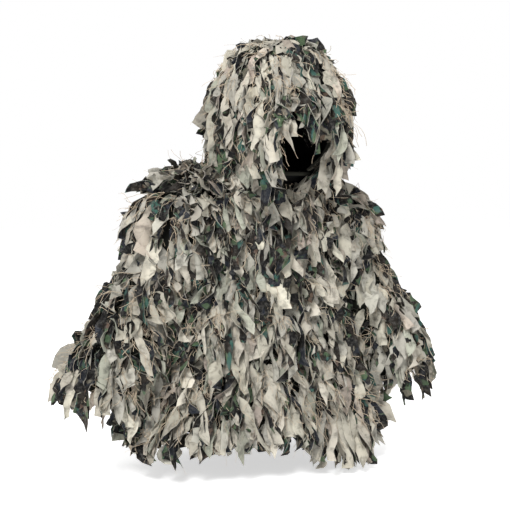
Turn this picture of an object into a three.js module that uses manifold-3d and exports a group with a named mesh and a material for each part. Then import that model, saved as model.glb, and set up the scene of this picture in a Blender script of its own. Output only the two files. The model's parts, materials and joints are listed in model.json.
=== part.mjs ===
// Ghillie jacket: a hooded, sleeved camouflage garment. A cloth shell carries netting, and rows of
// cut cloth strips are tied to the netting. Millimetres, +Z up. The wearer faces -Y, and the wearer's
// left is +X. The origin is the base of the wearer's neck, where the jacket hangs from the shoulders.
import * as THREE from "three";
import { mergeVertices } from "three/addons/utils/BufferGeometryUtils.js";
import Module from "manifold-3d";

const wasm = await Module();
wasm.setup();

// ---- driving dimensions ----
const GAP = 0.4; // between pieces that lie against each other
const CLOTH = 5; // wall of the cloth shell
const NET = 3; // from the shell to the outside of the netting
const ROW = 21; // from the netting to the outside of a row of hanging strips
const ROW_SPACE = 2.5; // between one row and the next
const SECTION_ROUND = 2.4; // exponent of the sections of body and hood: 2 is an ellipse

const NECK_TOP_Z = 12;
const NECK_HALF = 88; // half the width of the neck band
const NECK_WALL = 9;
const SHOULDER_HALF = 198; // from the middle to the shoulder point
const SHOULDER_Z = -102;
const SHOULDER_Y = 10;
const CHEST_HALF = 172; // half the width under the arms
const CHEST_BACK = 158;
const CHEST_DROP = 110; // from the shoulder point to the armpit
const HEM_Z = -528;
const HEM_HALF = 278;
const HEM_BACK = 205;
const HEM_TAPE = 14;
const FRINGE_DROP = 54; // how far the strips hang below the hem
const FLARE = 1.4; // how late the body widens on its way to the hem
const FRONT_Y = -85; // the front line at the neck
const FRONT_SLOPE = 0.1; // how far the front line leans out, per unit down
const SIDE_SEAM_Y = 12; // the front panels meet the back panel here
const BODY_SIDES = 24;
const BODY_ROWS = 5;
const ROWS_TOP_Z = -14;

const HOOD_TOP_Z = 306;
const HOOD_RIM_Z = 24;
const HOOD_RIM = 9; // height of the hem at the neck
const HOOD_HALF = 125;
const HOOD_FRONT = -232;
const HOOD_BACK = 80;
const HOOD_SIDES = 20;
const HOOD_CROWN_HALF = 42; // half the width of the crown panel
const HOOD_ROWS = 4;
const FACE_CENTRE_Z = 108;
const FACE_HALF_WIDTH = 74;
const FACE_HALF_HEIGHT = 96;
const FACE_HEM = 11; // width of the hem round the face
const BROW_DROP = 44; // how far the strips hang over the face from the brow
const EYELET_R = 4;
const EYELET_HOLE_R = 2.2;
const EYELET_RISE = 22; // above the hood's rim

const HEAD_R = 95; // the rounded sleeve head, which turns inside the armhole
const HEAD_ROOM = 3; // from the sleeve head to the armhole's edge
const HEAD_OPEN = { tilt: 7, offset: 36 }; // the plane that opens the head towards the body
const SLEEVE_ANGLE = 28.5; // degrees out from straight down
const SLEEVE_TOP_R = 58;
const SLEEVE_CUFF_R = 72;
const SLEEVE_END = 362; // along the sleeve from the shoulder point
const SLEEVE_SIDES = 20;
const SLEEVE_ROWS = 3;
const SLEEVE_ROWS_START = 104;
const UNDERARM = 74; // degrees either side of the inner line that carry no strips
const SHOULDER_STRIPS = { from: -38, to: 37, halfWidth: 62 }; // degrees above level, and reach in Y
const CUFF_BAND = 16;
const CUFF_DROP = 46;

const ZIP_TOP_Z = -14;
const ZIP_BOTTOM_RISE = 30; // from the hem to the end of the zip
const TAPE_WIDTH = 12;
const TAPE_T = 1.6;
const TEETH_WIDTH = 2.6;
const TEETH_T = 3;
const TEETH_GAP = 1.2; // half the gap that the slider's web runs in
const STOP_LENGTH = 4;
const ZIP_BOX_LENGTH = 13.5;
const ZIP_CHANNEL = 19; // half the gap in the strips that the zip runs in
const SLIDER = { width: 11, length: 15, plate: 1.8, web: 1.4, room: 0.4, ear: 1.4 };
const PULL = { width: 5, length: 30, thickness: 1.8, pinR: 1, eyeR: 1.45, rimR: 2.9 };

const LOOP = { width: 52, height: 20, bar: 5, thickness: 2 };

// ---- profiles ----
const lerp = THREE.MathUtils.lerp;
const frontY = (z) => FRONT_Y + FRONT_SLOPE * z;
const bodyStation = (z, halfWidth, back) => ({ z, halfWidth, front: frontY(z), back });

// The body from the neck down: over the shoulders, in to the chest, and out to the hem.
const CHEST_Z = SHOULDER_Z - CHEST_DROP;
const BODY = [
  bodyStation(NECK_TOP_Z, NECK_HALF - 4, 54),
  bodyStation(2, NECK_HALF + 8, 62),
  bodyStation(-8, SHOULDER_HALF - 50, 82),
  bodyStation(SHOULDER_Z + 80, SHOULDER_HALF - 18, 100),
  bodyStation(SHOULDER_Z + 50, SHOULDER_HALF + 2, 120),
  bodyStation(SHOULDER_Z, SHOULDER_HALF, 140),
  bodyStation(CHEST_Z, CHEST_HALF, CHEST_BACK),
  ...[0.25, 0.5, 0.75, 1].map((t) =>
    bodyStation(lerp(CHEST_Z, HEM_Z, t), lerp(CHEST_HALF, HEM_HALF, t ** FLARE), lerp(CHEST_BACK, HEM_BACK, t)),
  ),
  bodyStation(HEM_Z - FRINGE_DROP, HEM_HALF, HEM_BACK),
];

// The hood from its crown down to its rim, as shares of its size about the middle of its depth.
const HOOD_MIDDLE = (HOOD_FRONT + HOOD_BACK) / 2;
const HOOD_PROFILE = [
  { up: 1, half: 0.2, front: 0.28, back: 0.1 },
  { up: 0.94, half: 0.55, front: 0.62, back: 0.5 },
  { up: 0.84, half: 0.79, front: 0.82, back: 0.77 },
  { up: 0.7, half: 0.94, front: 0.95, back: 0.94 },
  { up: 0.52, half: 1, front: 1, back: 1 },
  { up: 0.32, half: 0.97, front: 0.93, back: 0.98 },
  { up: 0.14, half: 0.86, front: 0.66, back: 0.9 },
  { up: 0, half: 0.72, front: 0.3, back: 0.82 },
];
const HOOD = HOOD_PROFILE.map((s) => ({
  z: lerp(HOOD_RIM_Z, HOOD_TOP_Z, s.up),
  halfWidth: HOOD_HALF * s.half,
  front: lerp(HOOD_MIDDLE, HOOD_FRONT, s.front),
  back: lerp(HOOD_MIDDLE, HOOD_BACK, s.back),
}));

// ---- materials ----
const finish = (color, roughness = 0.95, metalness = 0) =>
  new THREE.MeshStandardMaterial({ color, roughness, metalness });
const shellCloth = finish(0x3a3a33);
const netCord = finish(0x4b4a3a);
const paleStrips = finish(0xb5ad95);
const darkStrips = finish(0x8b8876);
const webbing = finish(0x44443a, 0.9);
const zipTape = finish(0x2e2f2a, 0.9);
const toothPlastic = finish(0x23241f, 0.5);
const dullMetal = finish(0x5d5a4c, 0.45, 0.85);
const stripsOfRow = (row) => (row % 2 ? darkStrips : paleStrips);

// ---- solids ----
const jacket = new THREE.Group();
const WIDE = 900; // past every side of the jacket
const at = (x, y, z) => new THREE.Matrix4().makeTranslation(x, y, z);

// A closed three.js geometry as a manifold-3d solid.
function solid(geometry, matrix = new THREE.Matrix4()) {
  const g = geometry.clone().applyMatrix4(matrix);
  for (const name of Object.keys(g.attributes)) if (name !== "position") g.deleteAttribute(name);
  const merged = mergeVertices(g, 1e-3);
  const vertProperties = new Float32Array(merged.attributes.position.array);
  const triVerts = new Uint32Array(merged.index.array);
  return new wasm.Manifold(new wasm.Mesh({ numProp: 3, vertProperties, triVerts }));
}

const box = ([x0, y0, z0], [x1, y1, z1]) =>
  solid(new THREE.BoxGeometry(x1 - x0, y1 - y0, z1 - z0), at((x0 + x1) / 2, (y0 + y1) / 2, (z0 + z1) / 2));
const between = (low, high) => box([-WIDE, -WIDE, low], [WIDE, WIDE, high]);
const ball = (r, centre = new THREE.Vector3()) => solid(new THREE.SphereGeometry(r, 20, 12), at(...centre));

// A round bar along X through a point.
const barAlongX = (r, length, [x, y, z], sides = 20) =>
  solid(new THREE.CylinderGeometry(r, r, length, sides).rotateZ(Math.PI / 2), at(x, y, z));

// A manifold-3d solid as a named mesh. Only the largest body is kept if a cut left crumbs.
function addPiece(name, made, material, group = jacket) {
  const bodies = made.decompose().sort((a, b) => b.volume() - a.volume());
  const cut = bodies[0].getMesh();
  const geometry = new THREE.BufferGeometry();
  geometry.setAttribute("position", new THREE.BufferAttribute(new Float32Array(cut.vertProperties), 3));
  geometry.setIndex(new THREE.BufferAttribute(new Uint32Array(cut.triVerts), 1));
  geometry.computeVertexNormals();
  const mesh = new THREE.Mesh(geometry, material);
  mesh.name = name;
  group.add(mesh);
}

const roundPower = (v) => Math.sign(v) * Math.abs(v) ** (2 / SECTION_ROUND);

// How much of an offset goes sideways and how much goes up at one station of a profile.
function facing(stations, k) {
  const above = stations[Math.max(k - 1, 0)];
  const below = stations[Math.min(k + 1, stations.length - 1)];
  const girth = (s) => (s.halfWidth + (s.back - s.front) / 2) / 2;
  const slope = Math.atan2(girth(below) - girth(above), above.z - below.z);
  return { out: Math.cos(slope), up: Math.sin(slope) };
}

// A closed solid through the sections of a profile, with its surface moved out by an offset.
function loft(stations, offset, sides) {
  const last = stations.length - 1;
  const g = new THREE.CylinderGeometry(1, 1, 1, sides, last);
  const p = g.attributes.position;
  for (let i = 0; i < p.count; i++) {
    const k = Math.round((0.5 - p.getY(i)) * last);
    const s = stations[k];
    const { out, up } = facing(stations, k);
    const reach = Math.min(1, Math.hypot(p.getX(i), p.getZ(i)));
    const angle = Math.atan2(-p.getZ(i), p.getX(i));
    const halfDepth = (s.back - s.front) / 2 + offset * out;
    const x = reach * (s.halfWidth + offset * out) * roundPower(Math.cos(angle));
    const y = (s.front + s.back) / 2 + reach * halfDepth * roundPower(Math.sin(angle));
    p.setXYZ(i, x, y, s.z + offset * up);
  }
  return solid(g);
}

// The skin between two offsets of the body or of the hood.
const bodyLayer = (inner, outer) =>
  loft(BODY, outer, BODY_SIDES).subtract(loft(openEnded(BODY), inner, BODY_SIDES));
const hoodLayer = (inner, outer) => {
  const open = HOOD.map((s, k) => (k === HOOD.length - 1 ? { ...s, z: s.z - 2 * ROW } : s));
  return loft(open, outer, HOOD_SIDES).subtract(loft(open, inner, HOOD_SIDES));
};

// The same profile with its two ends moved out, so that a cut with it leaves no lid.
function openEnded(stations) {
  const last = stations.length - 1;
  const reach = (k) => (k === 0 ? 2 * ROW : k === last ? -2 * ROW : 0);
  return stations.map((s, k) => ({ ...s, z: s.z + reach(k) }));
}

// ---- cuts that pieces share ----
const sides = [
  { side: 1, name: "left" },
  { side: -1, name: "right" },
];
const zipHalf = TEETH_GAP + TEETH_WIDTH + TAPE_WIDTH + 2 * GAP;
const frontChannel = (half) => box([-half, -WIDE, -WIDE], [half, 0, WIDE]);
const shoulderPoint = (side) => new THREE.Vector3(side * SHOULDER_HALF, SHOULDER_Y, SHOULDER_Z);
const armholes = ball(HEAD_R + HEAD_ROOM, shoulderPoint(1)).add(ball(HEAD_R + HEAD_ROOM, shoulderPoint(-1)));

// The oval way in at the face, wider by a margin, from in front of the hood to its middle.
function faceWay(margin) {
  const start = HOOD_FRONT - 4 * ROW;
  const oval = new THREE.Matrix4().makeScale(FACE_HALF_WIDTH + margin, 1, FACE_HALF_HEIGHT + margin);
  const g = new THREE.CylinderGeometry(1, 1, HOOD_MIDDLE - start, 24);
  return solid(g, at(0, (HOOD_MIDDLE + start) / 2, FACE_CENTRE_Z).multiply(oval));
}

// ---- sleeve frame: its -Z runs down the sleeve, and its origin is the shoulder point ----
const SLEEVE_START = Math.sqrt(HEAD_R ** 2 - SLEEVE_TOP_R ** 2) - HEAD_ROOM;

function sleeveGroup(side) {
  const group = new THREE.Group();
  group.position.copy(shoulderPoint(side));
  group.rotation.y = THREE.MathUtils.degToRad(-side * SLEEVE_ANGLE);
  group.updateMatrix();
  return group;
}

// A cone round the sleeve's line, moved out by an offset, between two distances along it.
function sleeveCone(offset, from, to) {
  const radius = (along) =>
    lerp(SLEEVE_TOP_R, SLEEVE_CUFF_R, (along - SLEEVE_START) / (SLEEVE_END - SLEEVE_START)) + offset;
  const g = new THREE.CylinderGeometry(radius(from), radius(to), to - from, SLEEVE_SIDES);
  return solid(g.rotateX(Math.PI / 2), at(0, 0, -(from + to) / 2));
}

const sleeveLayer = (inner, outer, from, to) =>
  sleeveCone(outer, from, to).subtract(sleeveCone(inner, from - ROW, to + ROW));

// The part of a sleeve that carries strips, in its frame: all but its inner side.
const stripSide = (side) =>
  outboardOf(side, -SLEEVE_ANGLE, -SLEEVE_CUFF_R * Math.cos(THREE.MathUtils.degToRad(UNDERARM)));

// What the body keeps clear for both sleeves as they hang, down to their lowest strips.
function sleeveRoom() {
  const end = SLEEVE_END + CUFF_BAND + CUFF_DROP + 2 * GAP + HEAD_ROOM;
  const [left, right] = sides.map(({ side }) =>
    sleeveCone(NET + HEAD_ROOM, SLEEVE_START, end)
      .add(sleeveCone(NET + ROW + GAP, SLEEVE_ROWS_START - GAP, end).intersect(stripSide(side)))
      .transform(sleeveGroup(side).matrix.toArray()),
  );
  return left.add(right);
}

// Everything on the outboard side of a plane, in a sleeve's frame. Tilt is in degrees below level.
function outboardOf(side, tilt, offset) {
  const turn = new THREE.Matrix4().makeRotationY(side * THREE.MathUtils.degToRad(tilt + SLEEVE_ANGLE));
  const g = new THREE.BoxGeometry(2 * WIDE, 2 * WIDE, 2 * WIDE);
  return solid(g, turn.multiply(at(side * (WIDE + offset), 0, 0)));
}

// ---- body ----
// A layer of the body in three nodes: the back, and a front on each side of the zip.
function addFrontsAndBack(layer, what, material) {
  const seam = GAP / 2;
  const back = box([-WIDE, SIDE_SEAM_Y + seam, -WIDE], [WIDE, WIDE, WIDE]);
  addPiece(`back_${what}`, layer.intersect(back), material);
  for (const { side, name } of sides) {
    const near = side * zipHalf;
    const far = side * WIDE;
    const front = box([Math.min(near, far), -WIDE, -WIDE], [Math.max(near, far), SIDE_SEAM_Y - seam, WIDE]);
    addPiece(`front_${name}_${what}`, layer.intersect(front), material);
  }
}

function addBody() {
  const room = sleeveRoom();
  const wall = bodyLayer(-CLOTH, 0).subtract(room);
  const shell = wall.subtract(armholes).intersect(between(HEM_Z + HEM_TAPE + GAP, -GAP));
  addFrontsAndBack(shell, "panel", shellCloth);

  const collar = bodyLayer(-NECK_WALL, 0).intersect(between(0, NECK_TOP_Z));
  addPiece("neck_band", collar.subtract(frontChannel(zipHalf)), webbing);

  const hem = wall.intersect(between(HEM_Z, HEM_Z + HEM_TAPE));
  addPiece("hem_tape", hem.subtract(frontChannel(zipHalf)), webbing);

  const netting = bodyLayer(GAP, NET).subtract(armholes).subtract(room);
  addFrontsAndBack(netting.intersect(between(HEM_Z + HEM_TAPE, ROWS_TOP_Z + NET)), "netting", netCord);
}

// Rings of strips round the body, open at the zip and clear of the sleeves.
function addBodyRows() {
  const room = sleeveRoom();
  const layer = bodyLayer(NET + GAP, NET + ROW)
    .subtract(armholes)
    .subtract(room)
    .subtract(frontChannel(ZIP_CHANNEL));
  const pitch = (ROWS_TOP_Z - HEM_Z) / BODY_ROWS;
  for (let row = 0; row < BODY_ROWS; row++) {
    const top = ROWS_TOP_Z - row * pitch;
    const band = layer.intersect(between(top - pitch + ROW_SPACE, top));
    const bodies = band.decompose().filter((b) => b.volume() > ROW ** 3);
    if (bodies.length === 1) addPiece(`body_strips_row_${row + 1}`, band, stripsOfRow(row));
    else addPartedRow(row, bodies);
  }
  const fringe = bodyLayer(-CLOTH, NET + ROW)
    .subtract(room)
    .intersect(between(HEM_Z - FRINGE_DROP, HEM_Z - GAP));
  addPiece("hem_fringe", fringe.subtract(frontChannel(ZIP_CHANNEL)), paleStrips);
}

// A row that the armholes part: its back and its two fronts are named by where they lie.
function addPartedRow(row, bodies) {
  for (const body of bodies) {
    const { min, max } = body.boundingBox();
    const front = (min[0] + max[0]) / 2 > 0 ? "front_left" : "front_right";
    const place = (min[1] + max[1]) / 2 > SHOULDER_Y ? "back" : front;
    addPiece(`${place}_strips_row_${row + 1}`, body, stripsOfRow(row));
  }
}

// A loop of tape inside the back of the neck. A hook carries the jacket under its upper bar.
function addHangLoop() {
  const { width, height, bar, thickness } = LOOP;
  const outline = new THREE.Shape();
  outline.moveTo(-width / 2, 0).lineTo(width / 2, 0).lineTo(width / 2, height).lineTo(-width / 2, height);
  const inner = width / 2 - bar;
  const hole = new THREE.Path();
  hole.moveTo(-inner, bar).lineTo(inner, bar).lineTo(inner, height - bar).lineTo(-inner, height - bar);
  outline.holes.push(hole);
  const g = new THREE.ExtrudeGeometry(outline, { depth: thickness, bevelEnabled: false }).rotateX(Math.PI / 2);
  const inside = BODY[0].back - NECK_WALL - 2 * GAP;
  addPiece("hang_loop", solid(g, at(0, inside, NECK_TOP_Z - height)), webbing);
}

// ---- hood ----
function addHood() {
  const rimTop = HOOD_RIM_Z + HOOD_RIM;
  const open = faceWay(FACE_HEM / 2 + GAP);
  const wall = hoodLayer(-CLOTH, 0).subtract(open);
  const shell = wall.intersect(between(rimTop + GAP, WIDE));
  const c = HOOD_CROWN_HALF;
  addPiece("hood_crown_panel", shell.intersect(box([-c, -WIDE, -WIDE], [c, WIDE, WIDE])), shellCloth);
  addPiece("hood_left_panel", shell.intersect(box([c + GAP, -WIDE, -WIDE], [WIDE, WIDE, WIDE])), shellCloth);
  addPiece("hood_right_panel", shell.intersect(box([-WIDE, -WIDE, -WIDE], [-c - GAP, WIDE, WIDE])), shellCloth);
  addPiece("hood_neck_hem", wall.intersect(between(HOOD_RIM_Z, rimTop)), webbing);

  // The hem round the face follows the hood's wall between two ovals, and is open at the chin.
  const eyelets = sides.map(({ side, name }) => ({ name, ...eyelet(side) }));
  const band = hoodLayer(-CLOTH - 1, 1)
    .intersect(faceWay(FACE_HEM / 2))
    .subtract(faceWay(-FACE_HEM / 2))
    .intersect(between(HOOD_RIM_Z, WIDE));
  addPiece("face_hem", eyelets.reduce((made, e) => made.subtract(e.hole), band), webbing);
  for (const { name, ring } of eyelets) addPiece(`face_eyelet_${name}`, ring, dullMetal);

  const brow = hoodLayer(-CLOTH, ROW / 2).intersect(faceWay(-FACE_HEM / 2 - GAP));
  const browZ = FACE_CENTRE_Z + FACE_HALF_HEIGHT - BROW_DROP;
  addPiece("brow_fringe", brow.intersect(between(browZ, WIDE)), paleStrips);

  const netting = hoodLayer(GAP, NET).subtract(faceWay(FACE_HEM)).intersect(between(rimTop + GAP, WIDE));
  addPiece("hood_netting", netting, netCord);

  const layer = hoodLayer(NET + GAP, NET + ROW).subtract(faceWay(GAP));
  const lowest = rimTop + HOOD_RIM;
  const pitch = (HOOD_TOP_Z + NET + ROW - lowest) / HOOD_ROWS;
  for (let row = 0; row < HOOD_ROWS; row++) {
    const low = lowest + (HOOD_ROWS - 1 - row) * pitch;
    const band = layer.intersect(between(low, low + pitch - ROW_SPACE));
    addPiece(`hood_strips_row_${row + 1}`, band, stripsOfRow(row));
  }
}

// A cord eyelet low on one side of the face hem: a short ring facing front, and the hole for it.
function eyelet(side) {
  const z = HOOD_RIM_Z + EYELET_RISE;
  const x = side * FACE_HALF_WIDTH * Math.sqrt(1 - ((z - FACE_CENTRE_Z) / FACE_HALF_HEIGHT) ** 2);
  const k = HOOD.findIndex((s) => s.z <= z);
  const share = (z - HOOD[k].z) / (HOOD[k - 1].z - HOOD[k].z);
  const halfWidth = lerp(HOOD[k].halfWidth, HOOD[k - 1].halfWidth, share);
  const front = lerp(HOOD[k].front, HOOD[k - 1].front, share);
  const back = lerp(HOOD[k].back, HOOD[k - 1].back, share);
  const depth = (1 - Math.abs(x / halfWidth) ** SECTION_ROUND) ** (1 / SECTION_ROUND);
  const y = lerp((front + back) / 2, front, depth);
  const disc = (r, length) => solid(new THREE.CylinderGeometry(r, r, length, 14), at(x, y, z));
  return {
    ring: disc(EYELET_R, 4 * CLOTH).subtract(disc(EYELET_HOLE_R, 5 * CLOTH)),
    hole: disc(EYELET_R + GAP, 8 * CLOTH),
  };
}

// ---- sleeves ----
function addSleeve(side, name) {
  const group = sleeveGroup(side);
  jacket.add(group);

  // The head is a ball about the shoulder point, open towards the body and down the sleeve.
  const head = ball(HEAD_R)
    .subtract(ball(HEAD_R - CLOTH))
    .intersect(outboardOf(side, HEAD_OPEN.tilt, -HEAD_OPEN.offset))
    .subtract(sleeveCone(GAP, 0, SLEEVE_END));
  addPiece(`${name}_sleeve_head`, head, shellCloth, group);

  const cuffTop = SLEEVE_END + GAP;
  const cuffEnd = cuffTop + CUFF_BAND;
  addPiece(`${name}_sleeve_shell`, sleeveLayer(-CLOTH, 0, SLEEVE_START, SLEEVE_END), shellCloth, group);
  addPiece(`${name}_cuff_band`, sleeveLayer(-CLOTH, 0, cuffTop, cuffEnd), webbing, group);
  const netTop = SLEEVE_ROWS_START - ROW_SPACE;
  addPiece(`${name}_sleeve_netting`, sleeveLayer(GAP, NET, netTop, SLEEVE_END), netCord, group);
  addPiece(`${name}_shoulder_strips`, shoulderStrips(side), paleStrips, group);

  const outside = stripSide(side);
  const pitch = (SLEEVE_END - SLEEVE_ROWS_START) / SLEEVE_ROWS;
  for (let row = 0; row < SLEEVE_ROWS; row++) {
    const from = SLEEVE_ROWS_START + row * pitch;
    const band = sleeveLayer(NET + GAP, NET + ROW, from, from + pitch - ROW_SPACE);
    addPiece(`${name}_sleeve_strips_row_${row + 1}`, band.intersect(outside), stripsOfRow(row + 1), group);
  }
  const fringe = sleeveLayer(-CLOTH, NET + ROW, cuffEnd + GAP, cuffEnd + GAP + CUFF_DROP);
  addPiece(`${name}_cuff_fringe`, fringe.intersect(outside), paleStrips, group);
}

// Strips over the outboard side of the sleeve head, between two angles above level.
function shoulderStrips(side) {
  const { from, to, halfWidth } = SHOULDER_STRIPS;
  return ball(HEAD_R + ROW)
    .subtract(ball(HEAD_R + GAP))
    .intersect(box([-WIDE, -halfWidth, -SLEEVE_ROWS_START + ROW_SPACE], [WIDE, halfWidth, WIDE]))
    .intersect(outboardOf(side, -90 - from, 0).intersect(outboardOf(side, 90 - to, 0)))
    .subtract(sleeveCone(GAP, 0, SLEEVE_END));
}

// ---- zip: its frame's -Z runs down the front line, and its -Y faces out ----
function addZip() {
  const zip = new THREE.Group();
  zip.position.set(0, frontY(ZIP_TOP_Z) + CLOTH / 2, ZIP_TOP_Z);
  zip.rotation.x = -Math.atan(FRONT_SLOPE);
  jacket.add(zip);

  const length = (ZIP_TOP_Z - HEM_Z - ZIP_BOTTOM_RISE) * Math.hypot(1, FRONT_SLOPE);
  const bar = (x0, x1, thickness, z0, z1) =>
    box([Math.min(x0, x1), -thickness / 2, z0], [Math.max(x0, x1), thickness / 2, z1]);
  const boxTop = -length + ZIP_BOX_LENGTH;
  for (const { side, name } of sides) {
    const inner = side * TEETH_GAP;
    const outer = inner + side * TEETH_WIDTH;
    const edge = outer + side * GAP;
    addPiece(`zip_tape_${name}`, bar(edge, edge + side * TAPE_WIDTH, TAPE_T, -length, 0), zipTape, zip);
    const teeth = bar(inner, outer, TEETH_T, boxTop + GAP, -STOP_LENGTH);
    addPiece(`zip_teeth_${name}`, teeth, toothPlastic, zip);
    addPiece(`zip_top_stop_${name}`, bar(inner, outer, TEETH_T, -STOP_LENGTH + GAP, 0), dullMetal, zip);
  }
  const half = TEETH_GAP + TEETH_WIDTH;
  addPiece("zip_bottom_box", bar(-half, half, TEETH_T, -length, boxTop), toothPlastic, zip);
  addSliderAndPull(zip);
}

// The slider is two plates joined by a web between the rows of teeth, with two ears and a pin in
// front. The pull hangs on the pin.
function addSliderAndPull(zip) {
  const top = -STOP_LENGTH - 1;
  const low = top - SLIDER.length;
  const inner = TEETH_T / 2 + SLIDER.room;
  const outer = inner + SLIDER.plate;
  const half = SLIDER.width / 2;
  const earX = PULL.width / 2 + GAP;
  const pin = [0, -outer - PULL.rimR - GAP, top - SLIDER.length / 3];
  const ear = (side) => {
    const x = [side * earX, side * (earX + SLIDER.ear)].sort((a, b) => a - b);
    return box([x[0], pin[1] - PULL.pinR - 0.6, pin[2] - 3], [x[1], -inner, pin[2] + 3]);
  };
  const slider = box([-half, -outer, low], [half, -inner, top])
    .add(box([-half, inner, low], [half, outer, top]))
    .add(box([-SLIDER.web / 2, -outer, low + 3], [SLIDER.web / 2, outer, top - 3]))
    .add(ear(1).add(ear(-1)))
    .add(barAlongX(PULL.pinR, 2 * (earX + SLIDER.ear), pin));
  addPiece("zip_slider", slider, dullMetal, zip);

  const tabLow = [-PULL.width / 2, pin[1] - PULL.thickness / 2, pin[2] - PULL.length];
  const tabHigh = [PULL.width / 2, pin[1] + PULL.thickness / 2, pin[2]];
  const pull = barAlongX(PULL.rimR, PULL.width, pin, 24)
    .add(box(tabLow, tabHigh))
    .subtract(barAlongX(PULL.eyeR, 2 * PULL.width, pin));
  addPiece("zip_pull", pull, dullMetal, zip);
}

addBody();
addBodyRows();
addHangLoop();
addHood();
for (const { side, name } of sides) addSleeve(side, name);
addZip();

export default jacket;
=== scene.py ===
"""Ghillie jacket: a hooded field jacket whose netting carries thousands of cut, printed cloth strips.

The cloth shell, the netting, the strips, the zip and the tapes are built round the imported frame.
All sizes are in metres. The wearer faces -Y, the wearer's left is +X, and the origin is the base of
the neck.
"""
import json
import logging
import math
from collections.abc import Callable
from dataclasses import dataclass, field, replace
from enum import Enum

import bpy
import numpy as np
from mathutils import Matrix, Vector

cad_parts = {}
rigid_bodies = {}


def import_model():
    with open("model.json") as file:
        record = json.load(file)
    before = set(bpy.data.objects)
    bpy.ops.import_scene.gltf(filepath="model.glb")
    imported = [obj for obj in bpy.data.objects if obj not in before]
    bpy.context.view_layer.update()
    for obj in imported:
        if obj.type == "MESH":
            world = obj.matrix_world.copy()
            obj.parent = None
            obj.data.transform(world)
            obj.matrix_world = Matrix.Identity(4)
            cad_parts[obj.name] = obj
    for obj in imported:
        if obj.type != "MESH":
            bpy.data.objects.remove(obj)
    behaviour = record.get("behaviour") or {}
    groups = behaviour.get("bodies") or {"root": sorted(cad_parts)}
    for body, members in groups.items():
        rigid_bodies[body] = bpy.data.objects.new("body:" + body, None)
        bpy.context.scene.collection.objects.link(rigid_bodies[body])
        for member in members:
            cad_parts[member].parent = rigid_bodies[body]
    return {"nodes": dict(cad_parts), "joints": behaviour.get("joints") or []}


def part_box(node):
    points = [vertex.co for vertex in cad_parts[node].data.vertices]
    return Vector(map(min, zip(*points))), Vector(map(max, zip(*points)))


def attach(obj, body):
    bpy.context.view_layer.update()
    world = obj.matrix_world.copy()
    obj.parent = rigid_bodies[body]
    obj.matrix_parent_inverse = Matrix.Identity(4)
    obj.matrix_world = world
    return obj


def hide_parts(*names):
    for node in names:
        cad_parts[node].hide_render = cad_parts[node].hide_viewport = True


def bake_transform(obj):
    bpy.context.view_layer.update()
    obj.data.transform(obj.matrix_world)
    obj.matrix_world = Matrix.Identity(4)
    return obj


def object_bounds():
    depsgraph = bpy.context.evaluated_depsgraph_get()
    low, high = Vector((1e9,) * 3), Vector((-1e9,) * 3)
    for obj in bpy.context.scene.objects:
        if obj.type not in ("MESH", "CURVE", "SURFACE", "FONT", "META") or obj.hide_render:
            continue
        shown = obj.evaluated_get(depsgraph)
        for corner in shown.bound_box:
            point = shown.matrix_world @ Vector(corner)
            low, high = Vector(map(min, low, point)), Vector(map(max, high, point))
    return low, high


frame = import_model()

CAD_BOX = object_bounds()
LOG = logging.getLogger("ghillie_jacket")
TAU = 2 * math.pi
UP = np.array([0.0, 0.0, 1.0])
BACKWARDS = np.array([0.0, 1.0, 0.0])
LEVEL = np.array([1, 1, 0])  # keeps the level part of a direction
NET_LIFT = 0.0016  # netting above the cloth's surface
KNOT_LIFT = 0.003  # knots above it
TIGHT = 0.0005  # step of a slope that is read near an edge
SECTION_ROUND = 2.4  # exponent of the sections of body and hood: 2 is an ellipse


class Side(Enum):
    """The wearer's left or right, as the sign of X."""

    LEFT = 1
    RIGHT = -1

    @property
    def word(self) -> str:
        """The side's name as the nodes use it."""
        return self.name.lower()


# ---- small array helpers
def unit(v: np.ndarray) -> np.ndarray:
    """Vectors scaled to length one along the last axis."""
    return v / np.maximum(np.linalg.norm(v, axis=-1, keepdims=True), 1e-9)


def smooth_step(x: np.ndarray) -> np.ndarray:
    """0 below 0, 1 above 1, and 3x^2 - 2x^3 between."""
    x = np.clip(x, 0, 1)
    return x * x * (3 - 2 * x)


def low(node: str) -> np.ndarray:
    """The lowest corner of a CAD node."""
    return np.array(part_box(node)[0])


def high(node: str) -> np.ndarray:
    """The highest corner of a CAD node."""
    return np.array(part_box(node)[1])


def lowest(node: str) -> float:
    """The height of a CAD node's underside."""
    return float(low(node)[2])


def highest(node: str) -> float:
    """The height of a CAD node's top."""
    return float(high(node)[2])


def slope(measure: Callable[[np.ndarray], np.ndarray], p: np.ndarray, h: float) -> np.ndarray:
    """The slope of a measure at points, by central differences over h to either side."""
    return np.stack([(measure(p + h * axis) - measure(p - h * axis)) / (2 * h) for axis in np.eye(3)], -1)


def joint_point(name: str) -> np.ndarray:
    """The place of a hinge, from the frame."""
    return np.array(next(j["pos_m"] for j in frame["joints"] if j["name"] == name))


# ---- meshes
@dataclass
class MeshData:
    """Vertices and quads of one or many closed bodies, with values per vertex."""

    vertices: np.ndarray
    quads: np.ndarray
    values: dict[str, np.ndarray] = field(default_factory=dict)

    def joined(self, other: "MeshData") -> "MeshData":
        """Both meshes as one. They carry the same values."""
        quads = np.concatenate([self.quads, other.quads + len(self.vertices)])
        values = {k: np.concatenate([v, other.values[k]]) for k, v in self.values.items()}
        return MeshData(np.concatenate([self.vertices, other.vertices]), quads, values)


def quads_of(a: np.ndarray, b: np.ndarray, c: np.ndarray, d: np.ndarray) -> np.ndarray:
    """Four index arrays of one shape as a list of quads."""
    return np.stack([a.ravel(), b.ravel(), c.ravel(), d.ravel()], -1)


def grid_quads(rows: int, columns: int, ring: bool = False) -> np.ndarray:
    """The quads of a grid of points, its last column joined to its first where it is a ring."""
    grid = np.arange(rows * columns).reshape(rows, columns)
    wide = np.concatenate([grid, grid[:, :1]], 1) if ring else grid
    return quads_of(wide[:-1, :-1], wide[:-1, 1:], wide[1:, 1:], wide[1:, :-1])


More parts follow.
